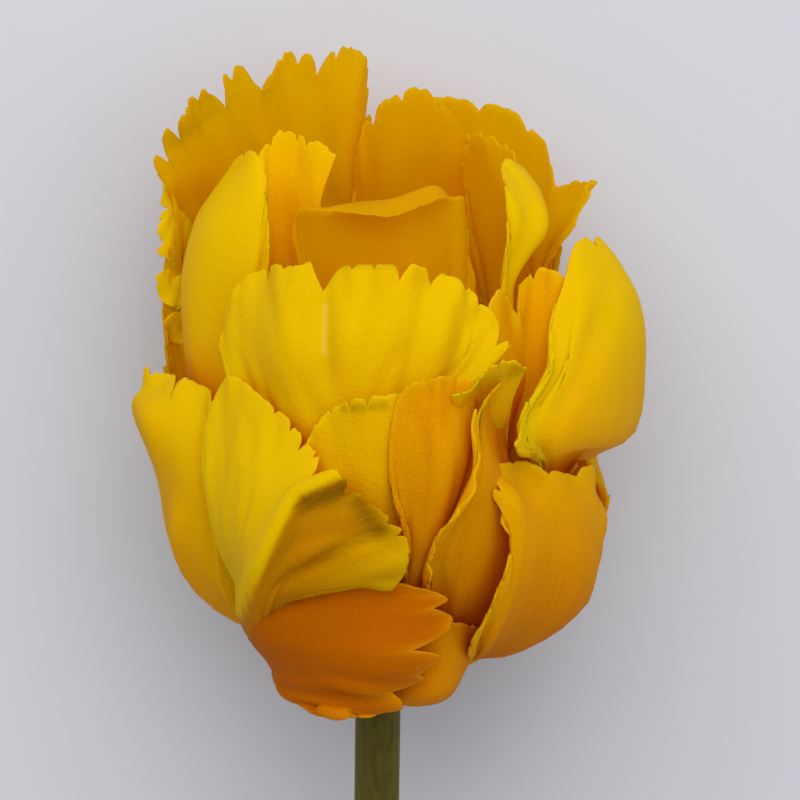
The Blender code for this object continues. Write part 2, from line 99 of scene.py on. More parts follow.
# Colours
YELLOW = (0.87, 0.665, 0.001)
GOLD = (0.89, 0.52, 0.001)
ORANGE = (0.83, 0.33, 0.001)
DEEP_ORANGE = (0.62, 0.17, 0.001)
GREEN = (0.45, 0.38, 0.003)
BRIGHT = (0.95, 0.72, 0.01)
SHADE_AMBER = (0.40, 0.14, 0.001)
# Painted shade beside the keel of the keeled petal
BROWN = (0.20, 0.11, 0.002)
PALE = (0.95, 0.78, 0.22)
SHINE = (1.0, 0.75, 0.02)
GLOW_YELLOW = (1.0, 0.6, 0.001)
GLOW_ORANGE = (0.98, 0.42, 0.001)

LIT_PLACE = (0, 0.04, 0.03)     # where the lamps aim, in metres

# Petal grid
ROWS = 8
FIRST_ROW = 0.015
EVENING = (0, 12, 10, 7, 4, 2, 1, 0)    # how far each row's bending is evened out across the petal
HEART_LOW = 22.0            # the bloom's heart line runs between these heights on its axis
HEART_HIGH = 95.0
ROOT_HALF = 1.1
CLAW_HALF = 2.9
SPREAD = 0.6                # how fast the veins spread from the root
ROOT_SHARE = 0.3            # share of their spread that they have there already
SIDE_ROW = 1.6              # row of a petal's net where its sides begin
EASING_ROUNDS = 70
MEETING = 6.0               # petals further apart than this leave each other alone
LEAST_LACK = 0.02           # lack of room that is eased, in mm: from this
MOST_LACK = 9.0             # to this

# Each petal: the blade's place in the order from the outermost, root azimuth (0 up, 90 right), root tier,
# claw azimuth, squareness of the tip, depth of the margin's lobes, ruffle in mm, waves, and rows of the blade
PETALS = {
    "petal_front_keeled": (0, -100, 0, -86, 0.34, 0.03, 0.5, 2.6, [
        [(-20.2, 18.5, 13.5), (-20.5, 14, 19.5), (-19.5, 10.5, 25), (-17.5, 11.5, 26), (-15, 13.5, 25)],
        [(-22.3, 30.5, 19.5), (-18.5, 28.5, 26), (-12.5, 25, 33), (-7.5, 20.5, 32.5), (-5, 15.8, 29)],
        [(-22.5, 44.5, 16), (-15.5, 40.5, 25), (-4, 31.5, 35), (2.8, 24.5, 35), (4.5, 17.5, 31)]]),
    "petal_bottom_front": (0.2, -45, 0, -62, 0.34, 0.05, 0.5, 2.2, [
        [(-12, 2, 13), (-17, 8, 13.5), (-17, 14.5, 17)],
        [(-8.5, 0.8, 19), (-9.5, 8, 24), (-9, 16, 25)],
        [(-2, 0.2, 21), (0, 8, 28), (2, 17, 28.5)],
        [(3.5, 0.5, 20), (9.3, 9, 27), (10.5, 17.3, 28)]]),
    "petal_bottom_right": (0.5, 10, 0, 16, 0.42, 0.04, 0.5, 2.4, [
        [(-1, 4, 21.5), (6.3, 4.3, 20.8), (13.4, 9.6, 16.2)],
        [(-3, 13, 24.5), (3, 13, 25.3), (10, 13.4, 24)]]),
    "petal_left_outer": (0.6, -120, 1, -106, 0.42, 0.04, 0.8, 3.1, [
        [(-24, 21, -9), (-28, 18.8, -1), (-26.3, 16.8, 7), (-21.5, 17, 11)],
        [(-25.5, 29, -8), (-28.8, 27.8, 3), (-26, 28, 13.5), (-21, 28, 18)],
        [(-30, 40, -5), (-33.6, 40, 4), (-28.5, 39, 13), (-21, 39, 17)],
        [(-29.5, 43.5, -3), (-32, 44.5, 4), (-27, 45, 10), (-21, 45, 14)]]),
    "petal_right_low": (0.4, 60, 1, 60, 0.42, 0.05, 0.8, 3.3, [
        [(11, 10.5, 22), (23, 11, 13), (22, 14, 3)],
        [(15.5, 18.5, 28), (28, 19, 16), (26, 21, 3)],
        [(16.5, 27, 30), (28, 27.5, 17), (27.3, 29, 4)],
        [(13.5, 33.2, 30.5), (25.5, 33, 19.5), (25.5, 33.2, 6)]]),
    "petal_right_back_low": (0.35, 90, 0, 106, 0.42, 0.04, 0.8, 3, [
        [(26, 21, 1), (28.5, 22, -10), (22.5, 22, -19)],
        [(30.2, 29, 3), (31, 30, -10), (25, 31, -21)],
        [(28, 34, 1), (28.5, 35, -10), (24, 37, -20)]]),
    "petal_back_left_low": (0.65, -155, 0, -152, 0.42, 0.04, 0.8, 3.2, [
        [(-4, 26, -24.5), (-15, 25, -24), (-23, 24, -14)],
        [(-5, 42, -27.6), (-16, 43, -29), (-26, 40, -15)],
        [(-6, 52, -27), (-16, 55, -27), (-26, 50, -13)]]),
    "petal_back_right_low": (0.9, 150, 0, 155, 0.42, 0.04, 0.8, 3.4, [
        [(18, 25, -19), (9, 26, -26), (-1, 26, -26)],
        [(20, 42, -23.5), (9.5, 43, -32), (-1, 42, -29.5)],
        [(20, 52, -22), (9, 55, -30.5), (-1, 54, -27)]]),
    "petal_right_big": (0.15, 120, 1, 115, 0.42, 0.04, 0.8, 3.6, [
        [(26, 34, -11), (26.5, 33, -1), (24.5, 32.5, 13), (20.5, 32.5, 21.5)],
        [(28.5, 43, -12), (34.6, 41, 3), (29.5, 37.5, 19), (14.3, 35.4, 32)],
        [(29.5, 53, -11), (36, 50, 4), (32, 48, 17), (23.5, 46, 23)],
        [(28, 61, -7), (34.3, 58, 5), (31, 57, 14), (24.5, 55, 18.5)],
        [(26.5, 66, -2), (30.5, 63.5, 5), (28, 62.5, 10), (25, 61, 13)]]),
    "petal_front_right": (1.1, 0, 1, 24, 0.42, 0.04, 0.6, 2.5, [
        [(5.5, 13.5, 20), (12, 12.5, 19.8), (17.5, 13.5, 14.5)],
        [(5.5, 19.5, 28), (12.5, 20, 27), (19, 20, 21)],
        [(10, 28.5, 34), (15, 30.5, 30), (17.5, 29, 25.5)],
        [(13, 39.5, 34), (15.5, 40, 29), (16.5, 39.5, 25)]]),
    "petal_front_spoon": (1.2, 25, 2, 14, 0.42, 0.03, 0.4, 2, [
        [(4.2, 20, 29), (6.2, 20, 30), (8.5, 21, 28.5)],
        [(1.7, 31, 34), (7.5, 31, 37), (13, 31, 33)],
        [(2, 41.3, 34), (8, 41.7, 37), (15, 42.3, 32)]]),
    "petal_front_mid": (1.3, -60, 1, -28, 0.42, 0.04, 0.6, 2.7, [
        [(-10, 24, 28), (-1, 24, 30), (5, 23.5, 27.5)],
        [(-10, 34, 30), (-1, 34, 33.5), (7, 34, 32)],
        [(-9, 41, 30), (-1, 42.5, 34), (7, 42, 33)]]),
    "petal_left_tall": (2.25, -80, 3, -86, 0.36, 0.03, 0.8, 3.5, [
        [(-19.5, 36, -7), (-24, 35, 0), (-21.5, 35, 9), (-17, 36, 13)],
        [(-21, 53, -6), (-28.3, 53, 1), (-24.5, 53, 12), (-16, 54, 16)],
        [(-21.5, 66, -3), (-27, 66, 3), (-22, 66, 13), (-15.3, 67, 16)],
        [(-20.5, 71.5, -1), (-21.5, 73, 4), (-18.5, 75, 9), (-14.8, 76, 12)]]),
    "petal_back_left_fringe": (1.4, -120, 2, -135, 0.3, 0.05, 1, 3.4, [
        [(-6, 36, -23), (-18, 37, -19), (-26.5, 37, -8)],
        [(-6, 55, -24), (-20, 56, -19), (-30.5, 52, -5)],
        [(-7, 72, -20), (-20, 73, -15), (-31, 70.5, -2)]]),
    "petal_back_right_tall": (1.45, 180, 1, 172, 0.36, 0.03, 0.8, 3.1, [
        [(9, 22, -13), (4, 22, -16.5), (-2, 22, -17)],
        [(22, 42, -15.5), (11, 42, -23), (-1, 42, -24)],
        [(24.5, 62, -13), (12, 64, -21), (-1, 64, -22)],
        [(24.5, 76.5, -7), (14, 83, -13), (-2, 82.5, -15)]]),
    "petal_top_fan": (2, -150, 3, -152, 0.28, 0.06, 1.2, 3.8, [
        [(-21, 44, -10), (-12, 44, -15.5), (-1.5, 44, -17.5)],
        [(-25, 63, -7), (-13, 64, -12.5), (-2, 65, -14.5)],
        [(-30.5, 74, 0), (-16, 77, -8), (-1.5, 77, -10.5)],
        [(-30.5, 77.5, 4), (-16.5, 84.5, -5), (2, 95, -9)]]),
    "petal_inner_back": (2.3, 155, 3, 163, 0.42, 0.04, 0.8, 3, [
        [(15, 44, -13.5), (7, 44, -16), (-4, 44, -15)],
        [(16, 64, -11), (7, 65, -14), (-4, 65, -12.5)],
        [(13, 76, -8), (6, 80, -9), (-5, 79.5, -8)]]),
    "petal_inner_back_right": (2.55, 100, 3, 120, 0.42, 0.04, 0.8, 3.2, [
        [(19.5, 42, 3), (20, 44, -5), (14.5, 44, -11.5)],
        [(20.5, 60, 3), (20.5, 62, -4), (13.5, 64, -9.5)],
        [(22.5, 70, 4), (18, 76, -1), (10, 79.5, -6)]]),
    "petal_upper_front": (2.2, -35, 2, -22, 0.3, 0.04, 0.8, 3.7, [
        [(-15, 30, 21), (-5, 29, 27), (6, 30, 26)],
        [(-20, 42, 20), (-7, 39.5, 31), (9, 41, 29)],
        [(-21.8, 50, 18), (-8, 49.5, 32), (16.5, 48.5, 26.5)],
        [(-20, 56.5, 17), (-7, 59.5, 30), (14.5, 54.5, 24)]]),
    "petal_inner_right_curl": (2.8, 50, 3, 75, 0.42, 0.04, 0.5, 2.6, [
        [(15, 44, 14), (17.5, 44, 11), (17.5, 44, 5.5)],
        [(16.5, 56, 15.5), (18, 57, 12.5), (17.5, 57, 6.5)],
        [(17.5, 66, 17), (23.5, 66, 12), (21, 66, 4)],
        [(13.5, 75, 12), (18.5, 74, 9), (21.5, 71, 4)]]),
    "petal_inner_right_flap": (2.4, 85, 2, 101, 0.42, 0.04, 0.6, 2.8, [
        [(21.5, 44, 6), (23, 45, -2), (19.5, 46, -10)],
        [(21, 59, 8), (23.5, 60, 0), (20.5, 63, -8)],
        [(25, 66, 10), (30.5, 71, 4), (23.5, 74, -5)]]),
    "petal_inner_right_front": (2.7, 0, 3, 35, 0.42, 0.05, 0.6, 2.9, [
        [(12.5, 32, 20), (16, 32, 17), (18, 32, 12)],
        [(14, 43, 22), (18.5, 43, 18), (21, 42, 11)],
        [(13, 54, 21), (17.5, 53, 17), (21, 50, 12)]]),
    "petal_inner_rolled": (3, -20, 4, 0, 0.34, 0.02, 0.4, 2.6, [
        [(-8, 36, 12), (1, 35, 15), (9.5, 36, 12)],
        [(-9.5, 54, 13), (1, 54, 18), (12, 55, 13)],
        [(-11, 66, 12), (0, 68, 18), (10.5, 70, 13)],
        [(-10.5, 68.5, 16), (0, 66.5, 23), (9.5, 69.5, 18)]]),
}

# Blades that hang over their neighbours: row where that starts, and the place in the order before it
HANGING = {"petal_right_big": (2.35, 1.45)}


def cup_point(azimuth, radius, height):
    """Point round the bloom's axis; azimuth 0 faces up and 90 right."""
    turn = math.radians(azimuth)
    return BASE + height * AXIS + radius * (math.cos(turn) * FRONT + math.sin(turn) * RIGHT)


def cup_place(points):
    """Distance from the bloom's axis, height along it, and unit direction away from it."""
    away = points - BASE
    height = away @ AXIS
    radial = away - height[..., None] * AXIS
    radius = np.linalg.norm(radial, axis=-1)
    return radius, height, radial / np.maximum(radius, 1e-6)[..., None]


def blend_weights(place, count):
    """Smooth spline weights of count even points at places 0 to count - 1."""
    place = np.clip(np.asarray(place, float), 0, count - 0.6)
    low = np.minimum(place.astype(int), count - 2)
    f = place - low
    four = [
        -0.5 * f + f**2 - 0.5 * f**3,
        1 - 2.5 * f**2 + 1.5 * f**3,
        0.5 * f + 2 * f**2 - 1.5 * f**3,
        -0.5 * f**2 + 0.5 * f**3,
    ]
    weights = np.zeros((len(place), count + 2))
    for k in range(4):
        weights[np.arange(len(place)), low + k] += four[k]
    weights[:, 1] += 2 * weights[:, 0]
    weights[:, 2] -= weights[:, 0]
    weights[:, count] += 2 * weights[:, count + 1]
    weights[:, count - 1] -= weights[:, count + 1]
    return weights[:, 1:count + 1]


def blend(net, row, column):
    """Points of a net at places along its rows and columns."""
    by_row = blend_weights(np.ravel(row), net.shape[0])
    by_column = blend_weights(np.ravel(column), net.shape[1])
    points = np.einsum("nr,nc,rcx->nx", by_row, by_column, net)
    return points.reshape(np.shape(row) + (3,))


def fan(vein, share, square, side):
    """Place across (-1 to 1) and up (0 to 1) at a share of the way along a vein that fans from the root."""
    across = np.sign(vein) * np.abs(np.sin(np.pi * vein / 2))**square
    up = side + (1 - side) * np.abs(np.cos(np.pi * vein / 2))**square
    return across * (ROOT_SHARE + (1 - ROOT_SHARE) * share**SPREAD), up * share


def net_with_claw(azimuth, tier, claw_azimuth, rows):
    """Adds the row where the petal leaves the receptacle and the row across its claw."""
    count = len(rows[0])
    ring = 5.2 - 0.45 * tier
    claw_ring = 14.5 - 1.7 * tier
    half = math.degrees(ROOT_HALF / ring)
    claw_half = math.degrees(CLAW_HALF / claw_ring)
    spread = np.linspace(-1, 1, count)
    root = [cup_point(azimuth + half * q, ring, 0.6 + 1.45 * tier) for q in spread]
    claw = [cup_point(claw_azimuth + claw_half * q, claw_ring, 3.0 + 1.9 * tier) for q in spread]
    across = np.array(rows[0][-1], float) - np.array(rows[0][0], float)
    if (claw[-1] - claw[0]) @ across < 0:
        root.reverse()
        claw.reverse()
    return np.array([root, claw] + [[np.array(p, float) for p in row] for row in rows])


def grid_normals(grid):
    across = np.gradient(grid, axis=0)
    along = np.gradient(grid, axis=1)
    normals = np.cross(across, along)
    return normals / np.maximum(np.linalg.norm(normals, axis=2, keepdims=True), 1e-9)


def run_along(line):
    """Distance along a line of points at each of them."""
    return np.concatenate([[0], np.cumsum(np.linalg.norm(np.diff(line, axis=0), axis=1))])


def petal_grid(name):
    """Veins x rows of points on a petal's middle surface, the sign that turns normals outward, places."""
    order, azimuth, tier, claw_azimuth, square, lobes, ruffle, waves, rows = PETALS[name]
    chance = random.Random(name)
    net = net_with_claw(azimuth, tier, claw_azimuth, rows)
    trial = np.sin(np.linspace(-math.pi / 2, math.pi / 2, 601))
    trial = np.unique(np.concatenate([trial, np.linspace(-1, 1, 601)**3]))
    side = SIDE_ROW / (net.shape[0] - 1)
    s, t = fan(trial, np.ones_like(trial), square, side)
    edge = blend(net, t * (net.shape[0] - 1), (s + 1) / 2 * (net.shape[1] - 1))
    run = run_along(edge)
    veins = int(np.clip(2 * round(run[-1] / 19) + 3, 13, 19))
    even = np.linspace(0, 1, veins)
    vein = np.interp(even * run[-1], run, trial)
    phase = chance.uniform(0, 2 * math.pi)
    reach = 1.04 + lobes * np.sin(2 * math.pi * (waves - 0.7) * even + phase + 1.3)
    share = np.linspace(0, 1, ROWS)[None, :]
    share = FIRST_ROW + (reach[:, None] - FIRST_ROW) * (1 - (1 - share)**1.15)
    s, t = fan(vein[:, None], share, square, side)
    grid = blend(net, t * (net.shape[0] - 1), (s + 1) / 2 * (net.shape[1] - 1))
    normals = grid_normals(grid)
    radial = cup_place(grid)[2]
    outward = 1.0 if (normals * radial)[:, 1:4].sum() > 0 else -1.0
    near_edge = np.clip((share - 0.6) / 0.4, 0, 1)**1.5
    taper = np.clip(np.minimum(even, 1 - even) / 0.16, 0, 1)
    wave = (taper * np.sin(2 * math.pi * waves * even + phase))[:, None]
    swell = (near_edge * wave)[..., None]
    row = t * (net.shape[0] - 1)
    change, under = HANGING.get(name, (0, order))
    place = np.where(row > change, order, under) + 100j * (row < 1.3) * (tier + 1)
    return grid + normals * outward * swell * ruffle, outward, place


def grid_triangles(veins, rows):
    triangles = []
    for i in range(veins - 1):
        for k in range(rows - 1):
            a = i * rows + k
            triangles += [(a, a + 1, a + rows + 1), (a, a + rows + 1, a + rows)]
    return triangles


def core_radius(height):
    """Room kept at the middle for the stem, receptacle, pistil and stamens."""
    heights = [-8, -1, 0.6, 7, 9, 13, 17, 28, 34]
    return np.interp(height, heights, [4.2, 4.4, 4.9, 3.6, 5.6, 6.8, 8.3, 8.3, 0])


def from_heart(points):
    """Nearest point of the bloom's heart line, and the unit direction and distance away from it."""
    height = (points - BASE) @ AXIS
    heart = BASE + np.clip(height, HEART_LOW, HEART_HIGH)[..., None] * AXIS
    away = points - heart
    distance = np.linalg.norm(away, axis=-1)
    return heart, away / np.maximum(distance, 1e-6)[..., None], distance


def room_lack(point, heart, ray, distance, tree, far):
    """The face of another petal that a ray from the heart meets, how far along, and its slant."""
    found, normal, face, hit = tree.ray_cast(Vector(heart), Vector(ray), distance + far)
    if found is not None:
        slant = abs(normal.x * ray[0] + normal.y * ray[1] + normal.z * ray[2])
        return face, hit, max(slant, 0.35)
    found, normal, face, hit = tree.find_nearest(Vector(point), EDGE_GAP)
    if found is not None:
        return face, None, hit
    return None, None, None


def evened(line, passes):
    """A line of points evened out along itself."""
    for _ in range(passes):
        padded = np.pad(line, ((1, 1), (0, 0)), mode="edge")
        line = (padded[:-2] + 2 * padded[1:-1] + padded[2:]) / 4
    return line


def lacking(points, place, others, facing, triangles, tree):
    """Points that lack room beside another petal: number, corners they meet, their move, and the lack."""
    hearts, rays, distances = from_heart(points)
    low = others.min(axis=0) - MEETING
    high = others.max(axis=0) + MEETING
    for k in np.nonzero(np.all((points > low) & (points < high), axis=1))[0]:
        face, hit, measure = room_lack(points[k], hearts[k], rays[k], distances[k], tree, MEETING)
        if face is None:
            continue
        corners = triangles[face]
        mine, theirs = place[k], facing[corners[0]]
        claws = mine.imag and theirs.imag and mine.imag != theirs.imag
        outer = mine.imag < theirs.imag if claws else mine.real < theirs.real
        side = 1.0 if outer else -1.0
        if hit is None:
            lack = EDGE_GAP - measure
        else:
            lack = PETAL_GAP / measure - (distances[k] - hit) * side
        if LEAST_LACK < lack <= MOST_LACK:
            yield k, corners, side * rays[k] * lack, lack


def ease_apart(grids, places, rounds):
    """Bends petals until each lies inside the ones outside it, keeping each petal's form."""
    names = list(grids)
    start = {name: grids[name].copy() for name in names}
    triangles = {name: grid_triangles(*grids[name].shape[:2]) for name in names}
    place = {name: places[name].ravel() for name in names}
    ease = {name: 0.3 + PETALS[name][0] for name in names}
    for _ in range(rounds):
        flat = {name: grids[name].reshape(-1, 3) for name in names}
        trees = {name: BVHTree.FromPolygons(flat[name].tolist(), triangles[name]) for name in names}
        push = {name: np.zeros_like(flat[name]) for name in names}
        hits = {name: np.full(len(flat[name]), 1e-6) for name in names}
        for one, other in itertools.permutations(names, 2):
            share = ease[one] / (ease[one] + ease[other])
            pair = (flat[one], place[one], flat[other], place[other])
            for k, corners, move, lack in lacking(*pair, triangles[other], trees[other]):
                push[one][k] += share * move * lack
                hits[one][k] += lack
                for corner in corners:
                    push[other][corner] -= (1 - share) * move * lack
                    hits[other][corner] += lack
        for name in names:
            shape = grids[name].shape
            step = (push[name] / hits[name][:, None]).reshape(shape)
            shift = grids[name] + 0.7 * step - start[name]
            padded = np.pad(shift, ((1, 1), (1, 1), (0, 0)), mode="edge")
            around = (padded[:-2, 1:-1] + padded[2:, 1:-1] + padded[1:-1, :-2] + padded[1:-1, 2:]) / 4
            shift = shift + 0.2 * (around - shift)
            for k in range(1, ROWS - 1):
                shift[:, k] = evened(shift[:, k], EVENING[k])
            shift[:, 0] = 0
            moved = start[name] + shift
            radius, height, radial = cup_place(moved)
            short = np.maximum(core_radius(height) + PETAL_THICK / 2 - radius, 0)
            short[:, 0] = 0
            moved = moved + radial * short[..., None]
            moved[..., 2] = np.maximum(moved[..., 2], TABLE + PETAL_THICK / 2)
            grids[name] = moved
    return grids


# Looks of each petal: finger width and depth, tooth width and depth, ruffle and curl of the margin in mm,
# then from 0 to 1 green at the margin, orange all over, and orange towards the root.
# The two oranges are partly the petal's own tone and partly painted shade, deeper on petals and parts that
# lie in shade.
LOOKS = {
    "petal_front_keeled": (2.3, 0.9, 1, 0.25, 0.3, 0, 0.2, 0, 0.15),
    "petal_bottom_front": (5, 0.8, 1.6, 0.25, 0.3, -0.5, 0.05, 1, 0.15),
    "petal_bottom_right": (4.2, 0.9, 1.6, 0.3, 0.4, -0.3, 0.05, 0.62, 0.2),
    "petal_left_outer": (4.4, 1.3, 1.3, 0.4, 0.7, 0.4, 0.15, 0.08, 0.4),
    "petal_right_low": (4, 1.6, 1.4, 0.45, 0.5, 0.3, 0.08, 0.45, 0.4),
    "petal_right_back_low": (4, 1, 1.4, 0.3, 0.6, 0.3, 0.2, 0.25, 0.3),
    "petal_back_left_low": (4, 1, 1.4, 0.3, 0.5, 0, 0.2, 0.2, 0.4),
    "petal_back_right_low": (4, 1, 1.4, 0.3, 0.5, 0, 0.2, 0.2, 0.4),
    "petal_right_big": (2.6, 0.7, 1.1, 0.35, 0.08, 0, 0, -0.1, 0.55),
    "petal_front_right": (2.6, 1.6, 1.2, 0.5, 0.8, 0.2, 0.15, 0.5, 0.2),
    "petal_front_spoon": (3, 0.7, 1.1, 0.35, 0.4, 0.3, 0.25, 0.56, 0),
    "petal_front_mid": (2.8, 1.5, 1.1, 0.3, 0.6, 0.3, 0.25, 0.2, 0.2),
    "petal_left_tall": (2.2, 0.6, 1, 0.4, 0.3, 0.2, 0.1, -0.05, 0.35),
    "petal_back_left_fringe": (4.6, 3, 1.5, 0.6, 0.9, 0.4, 0.2, -0.28, 0.15),
    "petal_back_right_tall": (2.6, 0.8, 1.2, 0.35, 0.5, 0.3, 0.05, -0.7, 0.1),
    "petal_top_fan": (3.6, 3.2, 1.3, 0.7, 0.8, 0.5, 0.35, -0.18, 0.25),
    "petal_inner_back": (2.6, 1.3, 1.2, 0.5, 0.5, 0.3, 0.05, -0.05, 0.2),
    "petal_inner_back_right": (2.8, 1.6, 1.2, 0.5, 0.6, 0.3, 0.15, -0.3, 0.2),
    "petal_upper_front": (1.9, 0.6, 0.9, 0.2, 0.5, 0.4, 0.25, 0, 0.35),
    "petal_inner_right_curl": (2.6, 1.4, 1.2, 0.5, 0.5, 0.3, 0.1, -0.1, 0.3),
    "petal_inner_right_flap": (3, 2, 1.2, 0.5, 0.8, 0.3, 0.1, -0.55, 0.1),
    "petal_inner_right_front": (2.6, 1.9, 1.1, 0.4, 0.8, 0.3, 0.4, 0.3, 0.3),
    "petal_inner_rolled": (5, 0.5, 1.4, 0.2, 0.3, 0.2, 0, -0.1, 0.4),
    "lobes_left": (3, 1.6, 1.2, 0.5, 0.7, 0.3, 0.2, -0.1, 0.1),
    "lobes_centre": (1.7, 1.5, 0.8, 0.3, 0.7, 0.3, 0.5, 0.2, 0.2),
    "lobes_inner_left": (3, 1.8, 1.2, 0.5, 0.8, 0.3, 0, 0.25, 0.2),
    "lobes_right": (3, 1.6, 1.2, 0.4, 0.6, 0.3, 0, 0.4, 0.2),
}

# Petals whose far face is lit, so that more light comes through them
BACKLIT = [
    "petal_top_fan", "petal_back_right_tall", "petal_inner_back", "petal_inner_back_right",
    "petal_inner_right_flap", "petal_back_left_fringe", "petal_inner_rolled",
]

# Small pushes of the fine blades: place on the photo in pixels, radius in mm, way (x, y, z) in mm
PUSHES = {
    "petal_front_keeled": [
        (213, 600, 6, (2.6, 0.5, -2)), (240, 655, 5, (2.5, 1.5, -3.5)), (345, 604, 6, (0, 1.7, 0)),
        (285, 612, 4, (-0.5, 1.4, 0))],
    "petal_bottom_front": [
        (262, 636, 6, (-2.2, 1.2, 7.5)), (285, 692, 4, (-1.2, -0.4, 0)), (330, 600, 7, (0, 2, 1))],
    "petal_bottom_right": [(440, 680, 5.5, (1.2, -2.4, 0))],
    "petal_left_outer": [(222, 585, 5.5, (2.2, -1, 1))],
    "petal_right_big": [
        (497, 455, 4.5, (2.8, 0.6, 0)), (560, 330, 5, (-1.8, 0, -0.8)), (612, 432, 5, (1.4, -1.4, 0)),
        (540, 400, 4.5, (-0.8, 0, 0))],
    "petal_right_low": [(508, 482, 4.5, (-2.4, 1.2, 0.5)), (470, 668, 3, (0.8, 0.8, 0))],
    "petal_front_right": [(498, 412, 4, (0.2, 3.4, 1)), (484, 436, 3.2, (-1.8, 1.2, 0.6))],
    "petal_back_left_fringe": [(163, 240, 9, (1.6, 0, 0))],
    "petal_back_left_low": [(155, 290, 9, (2.2, 0, 0))],
    "petal_top_fan": [(362, 52, 2, (0.6, 1.4, 0)), (244, 68, 2, (-0.4, 1.2, 0))],
}

# Loose lobes: lines across, from the root to the margin, of (x, y) in photo pixels and z in mm
LOBES = {
    "lobes_left": [
        [(207, 170, -6), (207, 225, -7), (207, 285, -7), (207, 345, -6)],
        [(188, 172, -5), (184, 228, -4), (184, 288, -4), (190, 345, -5)],
        [(164, 180, -6), (157, 232, -3), (158, 292, -3), (168, 342, -6)]],
    "lobes_centre": [
        [(440, 560, 22), (450, 560, 23), (460, 560, 23), (470, 560, 22)],
        [(455, 475, 25), (470, 478, 25), (486, 476, 24), (502, 470, 23)],
        [(454, 425, 31), (472, 422, 30), (490, 415, 30), (510, 405, 29)],
        [(452, 394, 36), (474, 386, 37), (499, 370, 37), (526, 366, 35)]],
    "lobes_right": [
        [(470, 570, 8), (485, 570, 9), (500, 570, 9), (515, 570, 8)],
        [(504, 420, 14), (522, 415, 15), (542, 418, 15), (560, 425, 14)],
        [(520, 285, 14), (538, 270, 15), (556, 275, 15), (572, 290, 14)]],
    "lobes_inner_left": [
        [(344, 625, 2), (349, 625, 2), (354, 625, 3), (359, 625, 4)],
        [(285, 400, 3), (300, 400, 3), (318, 400, 4), (335, 400, 5)],
        [(264, 215, 5), (284, 210, 4), (304, 214, 5), (319, 224, 7)],
        [(258, 158, 3), (280, 130, 2), (308, 140, 3), (337, 156, 5)]],
}

# Lines on the keeled petal, which gets painted shade to the right of its keel: points (x, y) in mm seen from
# above
KEEL = [(-19.6, 10.8), (-16, 18.4), (-13.3, 24.3), (-10.6, 29.4), (-4.5, 32.2)]
CREASE = [(-12.5, 18.7), (-6, 22), (0, 24.6)]

# Marks on petals: kind, points (x, y) in mm seen from above, half width in mm, strength
MARKS = {
    "petal_front_keeled": [
        # The keeled petal's brown marks are painted shade, chiefly along its keel and crease
        ("brown", [(-9.9, 28.8), (-4, 30.8)], 1.8, 1),
        ("brown", [(-15.5, 20), (-9.9, 28.3)], 1.5, 0.4),
        ("brown", [(-4, 30.5), (0, 25)], 1.4, 0.8),
        ("brown", CREASE, 0.8, 0.4),
        ("brown", [(-10.2, 37), (-8.6, 36), (-7.3, 33.2)], 0.9, 0.3)],
    "petal_upper_front": [
        ("pale", [(-7.2, 48.5), (-7.1, 54.5)], 0.32, 0.3),
        ("brown", [(-5.6, 60), (2.4, 60.2)], 0.6, 0.4)],
    "petal_top_fan": [("brown", [(-28.4, 77.6), (-23, 82)], 0.8, 0.3)],
    "petal_front_mid": [("brown", [(-4.5, 41), (0.6, 41.4)], 0.6, 0.5)],
    "lobes_centre": [("brown", [(13, 43.8), (19.5, 46.9)], 0.9, 0.45)],
}

# Ridges and grooves: points (x, y) in mm seen from above, half width and height towards the viewer in mm
RIDGES = {
    "petal_front_keeled": [
        (KEEL, 1.3, 1.3),
        (CREASE, 1.1, -0.8),
        ([(-14.5, 15.5), (-6.5, 18.2), (1.5, 20.8)], 1.3, 0.4)],
    "petal_upper_front": [
        ([(-7.3, 60), (-7.1, 52), (-6.9, 45)], 1.5, -0.8),
        ([(-11.5, 57), (-12.5, 47)], 2.2, 0.4),
        ([(6.5, 58), (4, 46)], 1.2, -0.6),
        ([(10, 56), (6.5, 45)], 1.2, 0.5),
        ([(12.5, 53), (8.5, 44)], 1, -0.5)],
    "petal_top_fan": [
        ([(-20.1, 82.6), (-17.3, 73.2)], 1.1, -0.7),
        ([(-17.8, 85.6), (-15.1, 73.8)], 1, 0.6),
        ([(-15.4, 84.2), (-13, 73.2)], 1, -0.7),
        ([(-12.7, 87.2), (-11.1, 73.2)], 1, 0.6),
        ([(-7.8, 85.9), (-8.6, 71.8)], 1.1, -0.7),
        ([(-3.8, 89), (-5.9, 72.5)], 1.2, 0.6),
        ([(-24.5, 79.5), (-19.5, 73)], 1, 0.5)],
    "petal_left_outer": [([(-31, 40), (-26.5, 24)], 1.4, -0.6)],
    "petal_right_big": [
        ([(29.5, 52), (24, 41)], 1.6, -0.5),
        ([(31, 58), (27, 44)], 1.6, 0.4)],
    "petal_front_spoon": [([(6, 42.5), (5.6, 27)], 1.4, -0.5)],
}

